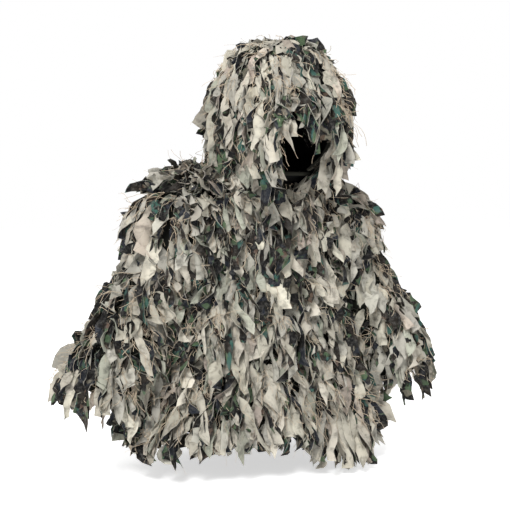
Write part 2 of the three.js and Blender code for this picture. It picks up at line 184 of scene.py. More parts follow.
def lid_quads(ring: np.ndarray) -> np.ndarray:
    """Quads straight across an even ring of points, which close it."""
    half = len(ring) // 2 - 1
    k = np.arange(half)
    return quads_of(ring[k], ring[k + 1], ring[len(ring) - 2 - k], ring[len(ring) - 1 - k])


def repeated(pattern: np.ndarray, bodies: int, points: int) -> np.ndarray:
    """One body's quads for each of several bodies of as many points."""
    return (pattern + np.arange(bodies)[:, None, None] * points).reshape(-1, 4)


def skin_quads(quads: np.ndarray, count: int) -> np.ndarray:
    """A surface's front, its back and the narrow walls along its free edges.

    An edge is free when no quad runs along it the other way. The back's quads start at the same
    corner as the front's, so that both are split along the same diagonal and never cross.

    Args:
        quads: The front's quads.
        count: How many points the front has. The back's points follow them.

    Returns:
        The quads of the closed skin.
    """
    edges = np.concatenate([quads[:, [k, (k + 1) % 4]] for k in range(4)])
    key, turned = edges[:, 0] * count + edges[:, 1], edges[:, 1] * count + edges[:, 0]
    a, b = edges[~np.isin(key, turned)].T
    return np.concatenate([quads, quads[:, [0, 3, 2, 1]] + count, quads_of(b, a, a + count, b + count)])


def grid_normals(points: np.ndarray, ring: bool) -> np.ndarray:
    """The normals of grids of points: the cross product of the steps across and along them."""
    if ring:
        across = np.roll(points, -1, -2) - np.roll(points, 1, -2)
    else:
        across = np.gradient(points, axis=-2)
    return unit(np.cross(across, np.gradient(points, axis=-3)))


def closed_sheets(points: np.ndarray, thickness: float, ring: bool = False, **values: np.ndarray) -> MeshData:
    """Closed thin sheets, half their thickness to either side of grids of points.

    Args:
        points: (sheets, rows, columns, 3).
        thickness: From face to face.
        ring: Whether the last column meets the first.
        **values: Arrays (sheets, rows, columns, n) that both faces carry.

    Returns:
        The sheets as one mesh, with "printed" 1 on the front faces and 0 on the back ones.
    """
    sheets, rows, columns, _ = points.shape
    normal = grid_normals(points, ring)
    both = np.stack([points + normal * thickness / 2, points - normal * thickness / 2], 1)
    pattern = skin_quads(grid_quads(rows, columns, ring), rows * columns)
    kept = {k: np.stack([v, v], 1).reshape(-1, v.shape[-1]) for k, v in values.items()}
    kept["printed"] = np.tile(np.repeat([1.0, 0.0], rows * columns), sheets)[:, None]
    return MeshData(both.reshape(-1, 3), repeated(pattern, sheets, 2 * rows * columns), kept)


def trimmed_sheet(points: np.ndarray, quads: np.ndarray, normal: np.ndarray, thickness: float,
                  inside: Callable[[np.ndarray], np.ndarray], reach: float) -> MeshData:
    """One closed thin sheet with the part left out where a distance is negative.

    Points just past the edge are drawn back onto it, along the distance's slope, so that the cut is
    smooth. The other points past it are dropped.

    Args:
        points: The middle surface's points (..., 3).
        quads: Its quads.
        normal: Its normals (..., 3).
        thickness: From face to face.
        inside: The distance, positive where the cloth stays.
        reach: How far past the edge a point is still drawn back.

    Returns:
        The sheet.
    """
    points, normal = points.reshape(-1, 3), normal.reshape(-1, 3)
    level, steep = inside(points), slope(inside, points, TIGHT)
    near = (level < 0) & (level > -reach)
    move = -level[:, None] * steep / np.maximum((steep ** 2).sum(-1, keepdims=True), 0.05)
    points = np.where(near[:, None], points + move, points)
    kept = quads[((level >= 0) | near)[quads].all(1)]
    used, flat = np.unique(kept, return_inverse=True)
    front, n = points[used], normal[used]
    vertices = np.concatenate([front + n * thickness / 2, front - n * thickness / 2])
    return MeshData(vertices, skin_quads(flat.reshape(-1, 4), len(used)))


def swept(paths: np.ndarray, out: np.ndarray, up: np.ndarray, thick: float, tall: float, sides: int = 10,
          ring: bool = False) -> MeshData:
    """Closed bars along paths, with a rounded oblong section.

    The section at turn t is thick/2 * |cos t|^(1/2) outwards and tall/2 * |sin t|^(1/2) upwards, with
    the signs of cos t and sin t.

    Args:
        paths: (bars, points, 3).
        out: The section's first direction, broadcastable over the points.
        up: Its second direction.
        thick: Its size along the first.
        tall: Its size along the second.
        sides: Points round the section, an even number.
        ring: Whether each path closes on itself.

    Returns:
        The bars as one mesh.
    """
    bars, points, _ = paths.shape
    turn = np.arange(sides) * TAU / sides
    c, s = (np.sign(v) * np.sqrt(np.abs(v)) for v in (np.cos(turn), np.sin(turn)))
    out, up = (np.broadcast_to(v, paths.shape)[:, :, None] for v in (out, up))
    vertices = paths[:, :, None] + out * (thick / 2 * c)[:, None] + up * (tall / 2 * s)[:, None]
    grid = np.arange(points * sides).reshape(points, sides)
    wide = np.concatenate([grid, grid[:1]]) if ring else grid
    pattern = quads_of(wide[:-1], wide[1:], np.roll(wide[1:], -1, 1), np.roll(wide[:-1], -1, 1))
    if not ring:
        pattern = np.concatenate([pattern, lid_quads(grid[0]), lid_quads(grid[-1])[:, ::-1]])
    along = np.gradient(paths[0, :3], axis=0)[1]
    if np.dot(np.cross(out[0, 1, 0], up[0, 1, 0]), along) < 0:
        pattern = pattern[:, ::-1]
    return MeshData(vertices.reshape(-1, 3), repeated(pattern, bars, points * sides))


def square_tubes(paths: np.ndarray, radius: float, **values: np.ndarray) -> MeshData:
    """Closed four-sided tubes along paths, for cords and threads.

    Args:
        paths: (tubes, points, 3).
        radius: From the path to the corners.
        **values: Arrays (tubes, points, n) that the tube carries.

    Returns:
        The tubes as one mesh.
    """
    tubes, points, _ = paths.shape
    along = unit(np.gradient(paths, axis=1))
    first = unit(np.cross(along, np.array([0.31, 0.53, 0.79])))
    second = np.cross(along, first)
    angle = np.arange(4)[:, None] * TAU / 4
    ring = np.cos(angle) * first[:, :, None] + np.sin(angle) * second[:, :, None]
    vertices = (paths[:, :, None] + radius * ring).reshape(-1, 3)
    grid = np.arange(points * 4).reshape(points, 4)
    turned = np.roll(grid, -1, 1)
    pattern = np.concatenate([
        quads_of(grid[:-1], turned[:-1], turned[1:], grid[1:]), grid[:1, ::-1], grid[-1:],
    ])
    kept = {k: np.repeat(v, 4, axis=1).reshape(-1, v.shape[-1]) for k, v in values.items()}
    return MeshData(vertices, repeated(pattern, tubes, points * 4), kept)


def stitches(path: np.ndarray, normal: np.ndarray, pitch: float = 0.005) -> MeshData:
    """A row of stitches along a path, each a short thread that rises a little from the cloth.

    Args:
        path: Points on the cloth (n, 3).
        normal: Outward directions there.
        pitch: From one stitch to the next.

    Returns:
        The stitches as one mesh, with the "cloth" vector that their streaks follow.
    """
    run = np.concatenate([[0], np.cumsum(np.linalg.norm(np.diff(path, axis=0), axis=-1))])
    starts = np.arange(pitch / 2, run[-1] - pitch, pitch)
    share = np.array([0.0, 0.33, 0.67])
    at = starts[:, None] + share * pitch
    rise = np.array([-0.0002, 0.0005, -0.0002])[None, :, None]  # its ends go into the cloth
    p = np.stack([np.interp(at, run, path[:, k]) for k in range(3)], -1)
    n = np.stack([np.interp(at, run, normal[:, k]) for k in range(3)], -1)
    cloth = np.stack([0 * at, at, 0 * at], -1)
    return square_tubes(p + unit(n) * rise, 0.0004, cloth=cloth)


def stitch_rows(path: np.ndarray, normal: np.ndarray, across: np.ndarray, apart: float) -> MeshData:
    """Two rows of stitches, one to either side of a path."""
    first, second = (stitches(path + across * side * apart, normal) for side in (-1, 1))
    return first.joined(second)


def make_piece(name: str, data: MeshData, material: bpy.types.Material,
               crease: float = 50) -> bpy.types.Object:
    """A mesh object in the scene, smooth but for edges sharper than the crease angle.

    Args:
        name: The piece's name.
        data: Its vertices, quads and values. Three numbers become a vector, one a float.
        material: Its finish.
        crease: Degrees.

    Returns:
        The object, at the origin.
    """
    mesh = bpy.data.meshes.new(name)
    mesh.vertices.add(len(data.vertices))
    mesh.vertices.foreach_set("co", data.vertices.astype(np.float32).ravel())
    mesh.loops.add(data.quads.size)
    mesh.loops.foreach_set("vertex_index", data.quads.astype(np.int32).ravel())
    mesh.polygons.add(len(data.quads))
    mesh.polygons.foreach_set("loop_start", np.arange(0, data.quads.size, 4, dtype=np.int32))
    for key, value in data.values.items():
        kind, entry = ("FLOAT", "value") if value.shape[-1] == 1 else ("FLOAT_VECTOR", "vector")
        layer = mesh.attributes.new(key, kind, "POINT")
        layer.data.foreach_set(entry, value.astype(np.float32).ravel())
    mesh.update(calc_edges=True)
    mesh.polygons.foreach_set("use_smooth", np.ones(len(data.quads), bool))
    mesh.set_sharp_from_angle(angle=math.radians(crease))
    mesh.materials.append(material)
    piece = bpy.data.objects.new(name, mesh)
    bpy.context.scene.collection.objects.link(piece)
    LOG.info("%s: %d quads", name, len(data.quads))
    return piece


# ---- the shapes that cloth lies on
class Form:
    """A solid that cloth lies on, known by how far a point is from its surface."""

    def distance(self, p: np.ndarray) -> np.ndarray:
        """Metres outside the surface, negative inside."""
        raise NotImplementedError


@dataclass
class Loft(Form):
    """A stack of superellipse sections: |x/a|^n + |(y-m)/b|^n = 1, with a, b and m changing with z.

    Attributes:
        z: Heights of the stations, rising.
        half: Half the width at each.
        front: Y of the front at each.
        back: Y of the back at each.
        reading: Step over which the level's slope is read.
    """

    z: np.ndarray
    half: np.ndarray
    front: np.ndarray
    back: np.ndarray
    reading: float = 0.002

    def sections(self, z: np.ndarray) -> tuple[np.ndarray, np.ndarray, np.ndarray]:
        """Half width, half depth and middle Y at some heights."""
        half, front, back = (np.interp(z, self.z, v) for v in (self.half, self.front, self.back))
        return half, (back - front) / 2, (back + front) / 2

    def level(self, p: np.ndarray) -> np.ndarray:
        """The section's own size at a point, less one: 0 on the surface."""
        half, depth, middle = self.sections(p[..., 2])
        x, y = np.abs(p[..., 0]) / half, np.abs(p[..., 1] - middle) / depth
        return (x ** SECTION_ROUND + y ** SECTION_ROUND) ** (1 / SECTION_ROUND) - 1

    def distance(self, p: np.ndarray) -> np.ndarray:
        """The level over its slope, about the distance near the surface, and open above and below."""
        near = self.level(p) / np.maximum(np.linalg.norm(slope(self.level, p, self.reading), axis=-1), 1.0)
        beyond = np.maximum(p[..., 2] - self.z[-1], self.z[0] - p[..., 2])
        return np.maximum(near, beyond)

    def point(self, angle: np.ndarray, z: np.ndarray, out: float = 0.0) -> np.ndarray:
        """Surface points by polar angle about the section's middle, moved outwards.

        The radius at an angle is (|cos/a|^n + |sin/b|^n)^(-1/n).

        Args:
            angle: Radians. The front is at -90 degrees.
            z: Heights.
            out: How far outside the surface.

        Returns:
            Points (..., 3).
        """
        angle, z = np.broadcast_arrays(angle, z)
        half, depth, middle = self.sections(z)
        c, s = np.cos(angle), np.sin(angle)
        size = np.abs(c / half) ** SECTION_ROUND + np.abs(s / depth) ** SECTION_ROUND
        reach = size ** (-1 / SECTION_ROUND)
        p = np.stack([reach * c, middle + reach * s, z + 0.0 * reach], -1)
        return p + out * self.slope_normal(p)

    def round_point(self, turn: np.ndarray, z: np.ndarray, out: float = NET_LIFT) -> np.ndarray:
        """Surface points for turns that run about evenly round each section."""
        half, depth, _ = self.sections(z)
        c, s = (np.sign(v) * np.abs(v) ** (2 / SECTION_ROUND) for v in (np.cos(turn), np.sin(turn)))
        angle = np.arctan2(depth * s, half * c)
        return self.point(angle + TAU * np.round((turn - angle) / TAU), z, out)

    def slope_normal(self, p: np.ndarray) -> np.ndarray:
        """The outward direction of the level set through a point."""
        return unit(slope(self.level, p, self.reading))

    def rows(self, bottom: float, top: float, spacing: float) -> np.ndarray:
        """Heights whose rings lie evenly along the profile, counted over its slopes."""
        z = np.linspace(bottom, top, 400)
        half, depth, _ = self.sections(z)
        girth = (half + depth) / 2
        run = np.concatenate([[0], np.cumsum(np.hypot(np.diff(z), np.diff(girth)))])
        count = max(2, round(run[-1] / spacing) + 1)
        return np.interp(np.linspace(0, run[-1], count), run, z)

    def ring(self, z: float, spacing: float, rng: np.random.Generator) -> np.ndarray:
        """Polar angles evenly spaced by arc length round one section, with a random start."""
        angle = np.linspace(0, TAU, 361)
        p = self.point(angle, np.full_like(angle, z))
        run = np.concatenate([[0], np.cumsum(np.linalg.norm(np.diff(p, axis=0), axis=-1))])
        count = max(4, round(run[-1] / spacing))
        places = (np.arange(count) + rng.random()) / count * run[-1]
        return np.interp(places, run, angle)


@dataclass
class SleeveCone(Form):
    """A sleeve: a cone about a line that slants out from the shoulder point.

    Attributes:
        side: Which sleeve.
        pivot: The shoulder point.
        angle: Radians out from straight down.
        start: Where the cone begins, along the line.
        end: Where its cloth ends.
        root: Radius at the start.
        cuff: Radius at the end.
    """

    side: Side
    pivot: np.ndarray
    angle: float
    start: float
    end: float
    root: float
    cuff: float
    tucked: float = 0.06  # how far it reaches back into its head

    @property
    def down(self) -> np.ndarray:
        """The direction along the sleeve, from shoulder to cuff."""
        return np.array([self.side.value * math.sin(self.angle), 0, -math.cos(self.angle)])

    @property
    def outward(self) -> np.ndarray:
        """The direction across the sleeve, away from the body."""
        return np.array([self.side.value * math.cos(self.angle), 0, math.sin(self.angle)])

    def radius(self, along: np.ndarray) -> np.ndarray:
        """The cone's radius, which grows evenly from root to cuff."""
        share = (along - self.start) / (self.end - self.start)
        return self.root + (self.cuff - self.root) * share

    def distance(self, p: np.ndarray) -> np.ndarray:
        """Distance from the cone's side, or from its open end."""
        relative = p - self.pivot
        along = relative @ self.down
        across = np.linalg.norm(relative - along[..., None] * self.down, axis=-1)
        outside = across - self.radius(np.clip(along, self.start, self.end))
        beyond = np.maximum(along - self.end, self.start - self.tucked - along)
        return np.where(beyond > 0, np.hypot(np.maximum(outside, 0), beyond), np.maximum(outside, beyond))

    def point(self, turn: np.ndarray, along: np.ndarray, out: float = NET_LIFT) -> np.ndarray:
        """Points by turn about the sleeve's line (0 is outboard, 90 degrees back) and distance along."""
        turn, along = np.broadcast_arrays(turn, along)
        reach = self.radius(along) + out
        return self.pivot + along[..., None] * self.down + reach[..., None] * self.spoke(turn)

    def spoke(self, turn: np.ndarray) -> np.ndarray:
        """The outward direction at a turn."""
        return np.cos(turn)[..., None] * self.outward + np.sin(turn)[..., None] * BACKWARDS


@dataclass
class Ball(Form):
    """The rounded head of a sleeve, about the shoulder point."""

    centre: np.ndarray
    radius: float

    def distance(self, p: np.ndarray) -> np.ndarray:
        """Distance from the sphere."""
        return np.linalg.norm(p - self.centre, axis=-1) - self.radius


class Field(Form):
    """The distance to the nearest of several forms, kept on a grid and read by linear interpolation."""

    def __init__(self, forms: list[Form], first: np.ndarray, last: np.ndarray, cell: float = 0.008):
        """Works out the grid.

        Args:
            forms: The solids.
            first: Lowest corner of the space it covers.
            last: Highest corner.
            cell: Grid step.
        """
        self.first, self.cell = first, cell
        self.shape = np.ceil((last - first) / cell).astype(int) + 1
        axes = [first[i] + cell * np.arange(self.shape[i]) for i in range(3)]
        grid = np.stack(np.meshgrid(*axes, indexing="ij"), -1)
        self.values = np.minimum.reduce([f.distance(grid) for f in forms])
        self.slopes = np.stack(np.gradient(self.values, cell), -1)

    def _read(self, table: np.ndarray, p: np.ndarray) -> np.ndarray:
        """A table's values at points: the eight corners of each cell, weighed by nearness."""
        at = np.clip((p - self.first) / self.cell, 0, self.shape - 1.001)
        base = at.astype(int)
        part = at - base
        total = 0.0
        for corner in np.ndindex(2, 2, 2):
            weight = np.prod(np.where(corner, part, 1 - part), axis=-1)
            i, j, k = (base[..., n] + corner[n] for n in range(3))
            found = table[i, j, k]
            total = total + (weight[..., None] * found if found.ndim > weight.ndim else weight * found)
        return total

    def distance(self, p: np.ndarray) -> np.ndarray:
        """Distance read from the grid."""
        return self._read(self.values, p)

    def normal(self, p: np.ndarray) -> np.ndarray:
        """Outward direction read from the grid."""
        return unit(self._read(self.slopes, p))


# ---- finishes
def grey(value: float) -> tuple[float, float, float]:
    """A colour of three equal parts."""
    return (value,) * 3


BLACK, WHITE = grey(0.0), grey(1.0)


class Graph:
    """A short way to build a material's nodes."""

    def __init__(self, name: str):
        """Starts an empty material with a principled shader."""
        self.material = bpy.data.materials.new(name)
        self.material.use_nodes = True
        self.nodes = self.material.node_tree.nodes
        self.links = self.material.node_tree.links
        self.shader = self.nodes["Principled BSDF"]

    def add(self, kind: str, inputs: dict | None = None, **settings) -> bpy.types.Node:
        """A node with its settings, and values or links for its inputs by name or number."""
        node = self.nodes.new(kind)
        for key, value in settings.items():
            setattr(node, key, value)
        for key, value in (inputs or {}).items():
            self.put(node.inputs[key], value)
        return node

    def put(self, socket: bpy.types.NodeSocket, value) -> None:
        """Links an output to an input, or sets the input's value."""
        if isinstance(value, bpy.types.NodeSocket):
            self.links.new(value, socket)
        else:
            socket.default_value = value

    def shade(self, name: str, value) -> None:
        """Links or sets one of the shader's inputs."""
        self.put(self.shader.inputs[name], value)

    def noise(self, where, scale: float, detail: float = 2.0, rough: float = 0.5) -> bpy.types.NodeSocket:
        """A noise texture's value."""
        inputs = {"Vector": where, "Scale": scale, "Detail": detail, "Roughness": rough}
        return self.add("ShaderNodeTexNoise", inputs).outputs[0]

    def ramp(self, value, stops: list[tuple[float, tuple]], constant: bool = False) -> bpy.types.NodeSocket:
        """Colours by value. Stops are (place, colour)."""
        node = self.add("ShaderNodeValToRGB", {"Fac": value})
        node.color_ramp.interpolation = "CONSTANT" if constant else "LINEAR"
        elements = node.color_ramp.elements
        while len(elements) < len(stops):
            elements.new(0.5)
        for element, (place, colour) in zip(elements, stops):
            element.position = place
            element.color = (*colour, 1)
        return node.outputs[0]

    def mix(self, share, a, b, mode: str = "MIX") -> bpy.types.NodeSocket:
        """Two colours mixed."""
        node = self.add("ShaderNodeMix", data_type="RGBA", blend_type=mode)
        for index, value in ((0, share), (6, a), (7, b)):
            if isinstance(value, tuple):
                value = (*value, 1)
            self.put(node.inputs[index], value)
        return node.outputs[2]

    def math(self, operation: str, a, b=0.0) -> bpy.types.NodeSocket:
        """A sum on two numbers."""
        return self.add("ShaderNodeMath", {0: a, 1: b}, operation=operation).outputs[0]

    def read(self, name: str, output: str = "Vector") -> bpy.types.NodeSocket:
        """A value that the mesh carries."""
        return self.add("ShaderNodeAttribute", attribute_name=name).outputs[output]

    def objects(self) -> bpy.types.NodeSocket:
        """Object coordinates."""
        return self.add("ShaderNodeTexCoord").outputs["Object"]

    def stretched(self, where, scale: tuple[float, float, float]) -> bpy.types.NodeSocket:
        """Coordinates scaled along each axis."""
        return self.add("ShaderNodeMapping", {"Vector": where, "Scale": scale}).outputs[0]

    def bump(self, height, strength: float, distance: float) -> None:
        """Puts a bump on the shader."""
        inputs = {"Height": height, "Strength": strength, "Distance": distance}
        self.shade("Normal", self.add("ShaderNodeBump", inputs).outputs[0])

    def weave(self, where, threads: float) -> bpy.types.NodeSocket:
        """Plain weave: the product of two sets of bands that cross."""
        bands = [
            self.add("ShaderNodeTexWave", {"Vector": where, "Scale": threads, "Distortion": 0.6},
                     wave_type="BANDS", bands_direction=axis).outputs["Fac"]
            for axis in ("X", "Y")
        ]
        return self.math("MULTIPLY", *bands)


@dataclass(frozen=True)
class StripCloth:
    """Cut cotton strips: plain khaki on the back, dark camouflage print on the front.

    The pattern follows each strip: the "cloth" vector holds metres across, metres along and a number
    of the strip's own, and "tone" holds its family, its value and its warmth.
    """

    name: str = "strip_cloth"
    khaki: tuple = (0.525, 0.492, 0.402)
    greige: tuple = (0.430, 0.414, 0.356)
    tan: tuple = (0.450, 0.384, 0.318)
    sage: tuple = (0.360, 0.370, 0.298)
    charcoal: tuple = (0.008, 0.008, 0.009)
    umber: tuple = (0.022, 0.018, 0.015)
    navy: tuple = (0.016, 0.019, 0.028)
    teal: tuple = (0.040, 0.105, 0.088)
    leaf: tuple = (0.074, 0.122, 0.064)
    drab: tuple = (0.175, 0.160, 0.120)
    rust: tuple = (0.105, 0.070, 0.050)
    faded: tuple = (0.150, 0.145, 0.135)
    blotches: float = 34.0  # this and the next six are per metre
    dabs: float = 60.0
    threads: float = 210.0
    mottling: float = 28.0
    crumples: float = 62.0
    fibres: float = 900.0
    fading: float = 150.0
    sheen: float = 0.08
    bump: float = 0.9
    bump_height: float = 0.0042

    def material(self) -> bpy.types.Material:
        """Builds the nodes."""
        g = Graph(self.name)
        cloth, tone = g.read("cloth"), g.read("tone")
        family, value, warmth = g.add("ShaderNodeSeparateXYZ", {0: tone}).outputs
        mottle = g.noise(cloth, self.mottling, 3.0)
        clouded = g.ramp(mottle, [(0.35, BLACK), (0.75, grey(0.45))])
        plain = g.mix(clouded, self.ground(g, family), self.greige)
        colour = g.mix(g.read("printed", "Fac"), plain, self.printed_side(g, cloth))
        tint = g.add("ShaderNodeHueSaturation", {
            "Hue": g.math("ADD", g.math("MULTIPLY", warmth, 0.02), 0.486),
            "Saturation": 0.96, "Value": value, "Color": colour,
        }).outputs[0]
        fibre = g.noise(g.stretched(cloth, (1.0, 0.12, 1.0)), self.fibres, 2.0)
        worn = g.mix(g.ramp(fibre, [(0.4, BLACK), (0.8, grey(0.05))]), tint, self.khaki)
        crumple = g.noise(cloth, self.crumples, 4.0, 0.62)
        # painted shade in the folds: where the crumple bump is low the colour is multiplied down to half
        painted_fold_shade = g.ramp(crumple, [(0.34, grey(0.50)), (0.50, grey(0.94)), (0.66, WHITE)])
        g.shade("Base Color", g.mix(1.0, worn, painted_fold_shade, "MULTIPLY"))
        g.shade("Roughness", g.ramp(mottle, [(0.2, grey(0.82)), (0.8, grey(0.97))]))
        g.shade("Specular IOR Level", self.sheen)
        height = g.math("ADD", g.math("MULTIPLY", g.weave(cloth, self.threads), 0.16), crumple)
        g.bump(height, self.bump, self.bump_height)
        return g.material

    def ground(self, g: Graph, family: bpy.types.NodeSocket) -> bpy.types.NodeSocket:
        """The plain side's colour by the strip's family."""
        cloths = (self.khaki, self.greige, self.tan, self.sage, self.khaki)
        return g.ramp(family, list(zip((0.0, 0.40, 0.68, 0.76, 0.88), cloths)), True)

    def printed_side(self, g: Graph, cloth: bpy.types.NodeSocket) -> bpy.types.NodeSocket:
        """Blotches of green, drab and rust over near-black, brown and navy."""
        slow = g.noise(cloth, self.blotches * 0.55, 1.0)
        dark = g.ramp(slow, [(0.0, self.umber), (0.44, self.charcoal), (0.58, self.navy)], True)
        blotch = g.ramp(g.noise(cloth, self.blotches, 2.5, 0.55), [(0.555, BLACK), (0.585, WHITE)])
        shifted = g.stretched(cloth, (1.0, 0.8, 1.7))
        patch = g.noise(shifted, self.blotches * 0.5)
        greens = g.ramp(patch, [(0.0, self.teal), (0.45, self.leaf), (0.56, self.drab)], True)
        dab = g.ramp(g.noise(shifted, self.dabs, 1.5), [(0.64, BLACK), (0.67, WHITE)])
        specks = g.ramp(slow, [(0.0, self.rust), (0.5, self.drab), (0.6, self.leaf)], True)
        fresh = g.mix(dab, g.mix(blotch, dark, greens), specks)
        wear = g.ramp(g.noise(cloth, self.fading, 4.0, 0.65), [(0.47, BLACK), (0.68, grey(0.42))])
        return g.mix(wear, fresh, self.faded)


@dataclass(frozen=True)
class PlainCloth:
    """Plain woven cloth with a faint camouflage mottle, on Object coordinates."""

    name: str
    colour: tuple
    dark: tuple
    threads: float = 260.0
    bump: float = 0.35
    bump_height: float = 0.0012
    mottle: float = 9.0
    sheen: float = 0.08

    def material(self) -> bpy.types.Material:
        """Builds the nodes."""
        g = Graph(self.name)
        where = g.objects()
        patches = g.noise(where, self.mottle, 3.0, 0.6)
        cloud = g.noise(where, self.mottle * 5, 3.0, 0.6)
        base = g.mix(g.ramp(patches, [(0.42, BLACK), (0.5, WHITE)]), self.colour, self.dark)
        worn = g.mix(g.ramp(cloud, [(0.45, BLACK), (0.8, grey(0.35))]), base, self.colour)
        g.shade("Base Color", worn)
        g.shade("Roughness", g.ramp(cloud, [(0.2, grey(0.85)), (0.8, grey(0.98))]))
        g.shade("Specular IOR Level", self.sheen)
        height = g.math("ADD", g.weave(where, self.threads), cloud)
        g.bump(height, self.bump, self.bump_height)
        return g.material


@dataclass(frozen=True)
class Fibre:
    """Twisted cord or jute threads, streaked along their length by the "cloth" vector."""

    name: str
    pale: tuple
    dark: tuple

    def material(self) -> bpy.types.Material:
        """Builds the nodes."""
        g = Graph(self.name)
        cloth = g.read("cloth")
        streak = g.noise(g.stretched(cloth, (260.0, 40.0, 1.0)), 1.0, 3.0)
        g.shade("Base Color", g.ramp(streak, [(0.3, self.dark), (0.7, self.pale)]))
        g.shade("Roughness", g.ramp(streak, [(0.2, grey(0.8)), (0.8, grey(0.96))]))
        twist = g.add("ShaderNodeTexWave", {"Vector": g.stretched(cloth, (300.0, 180.0, 1.0)), "Scale": 1.0},
                      wave_type="BANDS", bands_direction="DIAGONAL").outputs["Fac"]
        g.bump(g.math("ADD", twist, streak), 0.5, 0.0008)
        return g.material


@dataclass(frozen=True)
class Hardware:
    """Moulded plastic or coated metal, with scuffs and a little wear."""

    name: str
    colour: tuple
    worn: tuple
    metallic: float
    roughness: float

    def material(self) -> bpy.types.Material:
        """Builds the nodes."""
        g = Graph(self.name)
        where = g.objects()
        scuff = g.noise(g.stretched(where, (1.0, 1.0, 0.35)), 420.0, 4.0, 0.65)
        cloud = g.noise(where, 90.0, 3.0)
        g.shade("Base Color", g.mix(g.ramp(scuff, [(0.52, BLACK), (0.7, WHITE)]), self.colour, self.worn))
        rough = self.roughness
        g.shade("Roughness", g.ramp(cloud, [(0.3, (rough - 0.1,) * 3), (0.7, (rough + 0.15,) * 3)]))
        g.shade("Metallic", self.metallic)
        g.bump(scuff, 0.12, 0.0003)
        return g.material


class Finishes:
    """Every material of the jacket, made once."""

    def __init__(self) -> None:
        """Makes the materials."""
        self.strips = StripCloth().material()
        # dark cloth, and so near black that it also paints the shade in the gaps between the strips
        self.shell = PlainCloth("shell_cloth", (0.020, 0.021, 0.016), (0.009, 0.0095, 0.008)).material()
        # near-black, painted shade: so dark that the inside of the hood reads as a black void through the
        # face opening
        self.lining = PlainCloth("hood_cloth", (0.010, 0.010, 0.009), (0.005, 0.005, 0.005)).material()
        self.webbing = PlainCloth("webbing", (0.04, 0.039, 0.03), (0.024, 0.024, 0.019), 420, 0.6).material()
        self.zip_tape = PlainCloth("zip_tape", (0.035, 0.035, 0.03), (0.025, 0.025, 0.022), 520,
                                   0.6).material()
        self.net = Fibre("net_cord", (0.085, 0.078, 0.055), (0.03, 0.03, 0.022)).material()
        self.jute = Fibre("jute_thread", (0.58, 0.48, 0.36), (0.36, 0.285, 0.20)).material()
        self.plastic = Hardware("tooth_plastic", (0.022, 0.022, 0.02), (0.07, 0.07, 0.06), 0, 0.45).material()
        self.metal = Hardware("dull_metal", (0.11, 0.10, 0.08), (0.30, 0.27, 0.21), 0.85, 0.42).material()
        self.thread = Fibre("seam_thread", (0.20, 0.19, 0.14), (0.09, 0.085, 0.065)).material()


# ---- strips
@dataclass(frozen=True)
class Cut:
    """How a family of strips is cut and how it hangs.

    Attributes:
        length: Shortest and longest.
        width: Narrowest and widest.
        lift: How far above the cloth a strip lies, least and most.
        rise: Degrees that a tail stands off at its knot, least and most.
        spread: Degrees between a knot's tail and the way straight down.
        weight: How soon a tail turns down, per step.
        twist: Spread of its twist from knot to tip, in degrees.
        roll: Spread of its turn about its own line at the knot, in degrees.
        sway: How far it wavers at each step, least and most.
        kink: Spread of its sudden turns at each step.
    """

    length: tuple[float, float] = (0.045, 0.112)
    width: tuple[float, float] = (0.015, 0.040)
    lift: tuple[float, float] = (0.002, 0.019)
    rise: tuple[float, float] = (-5.0, 30.0)
    spread: float = 25.0
    weight: float = 0.26
    twist: float = 80.0
    roll: float = 34.0
    sway: tuple[float, float] = (0.08, 0.34)
    kink: float = 0.13


@dataclass(frozen=True)
class Pile:
    """A place where strips lie on each other, as high as height * exp(-(d/reach)^2) at distance d."""

    place: tuple[float, float, float]
    height: float
    reach: float

    def at(self, p: np.ndarray) -> np.ndarray:
        """The pile's height at points."""
        return self.height * np.exp(-(np.linalg.norm(p - np.array(self.place), axis=-1) / self.reach) ** 2)


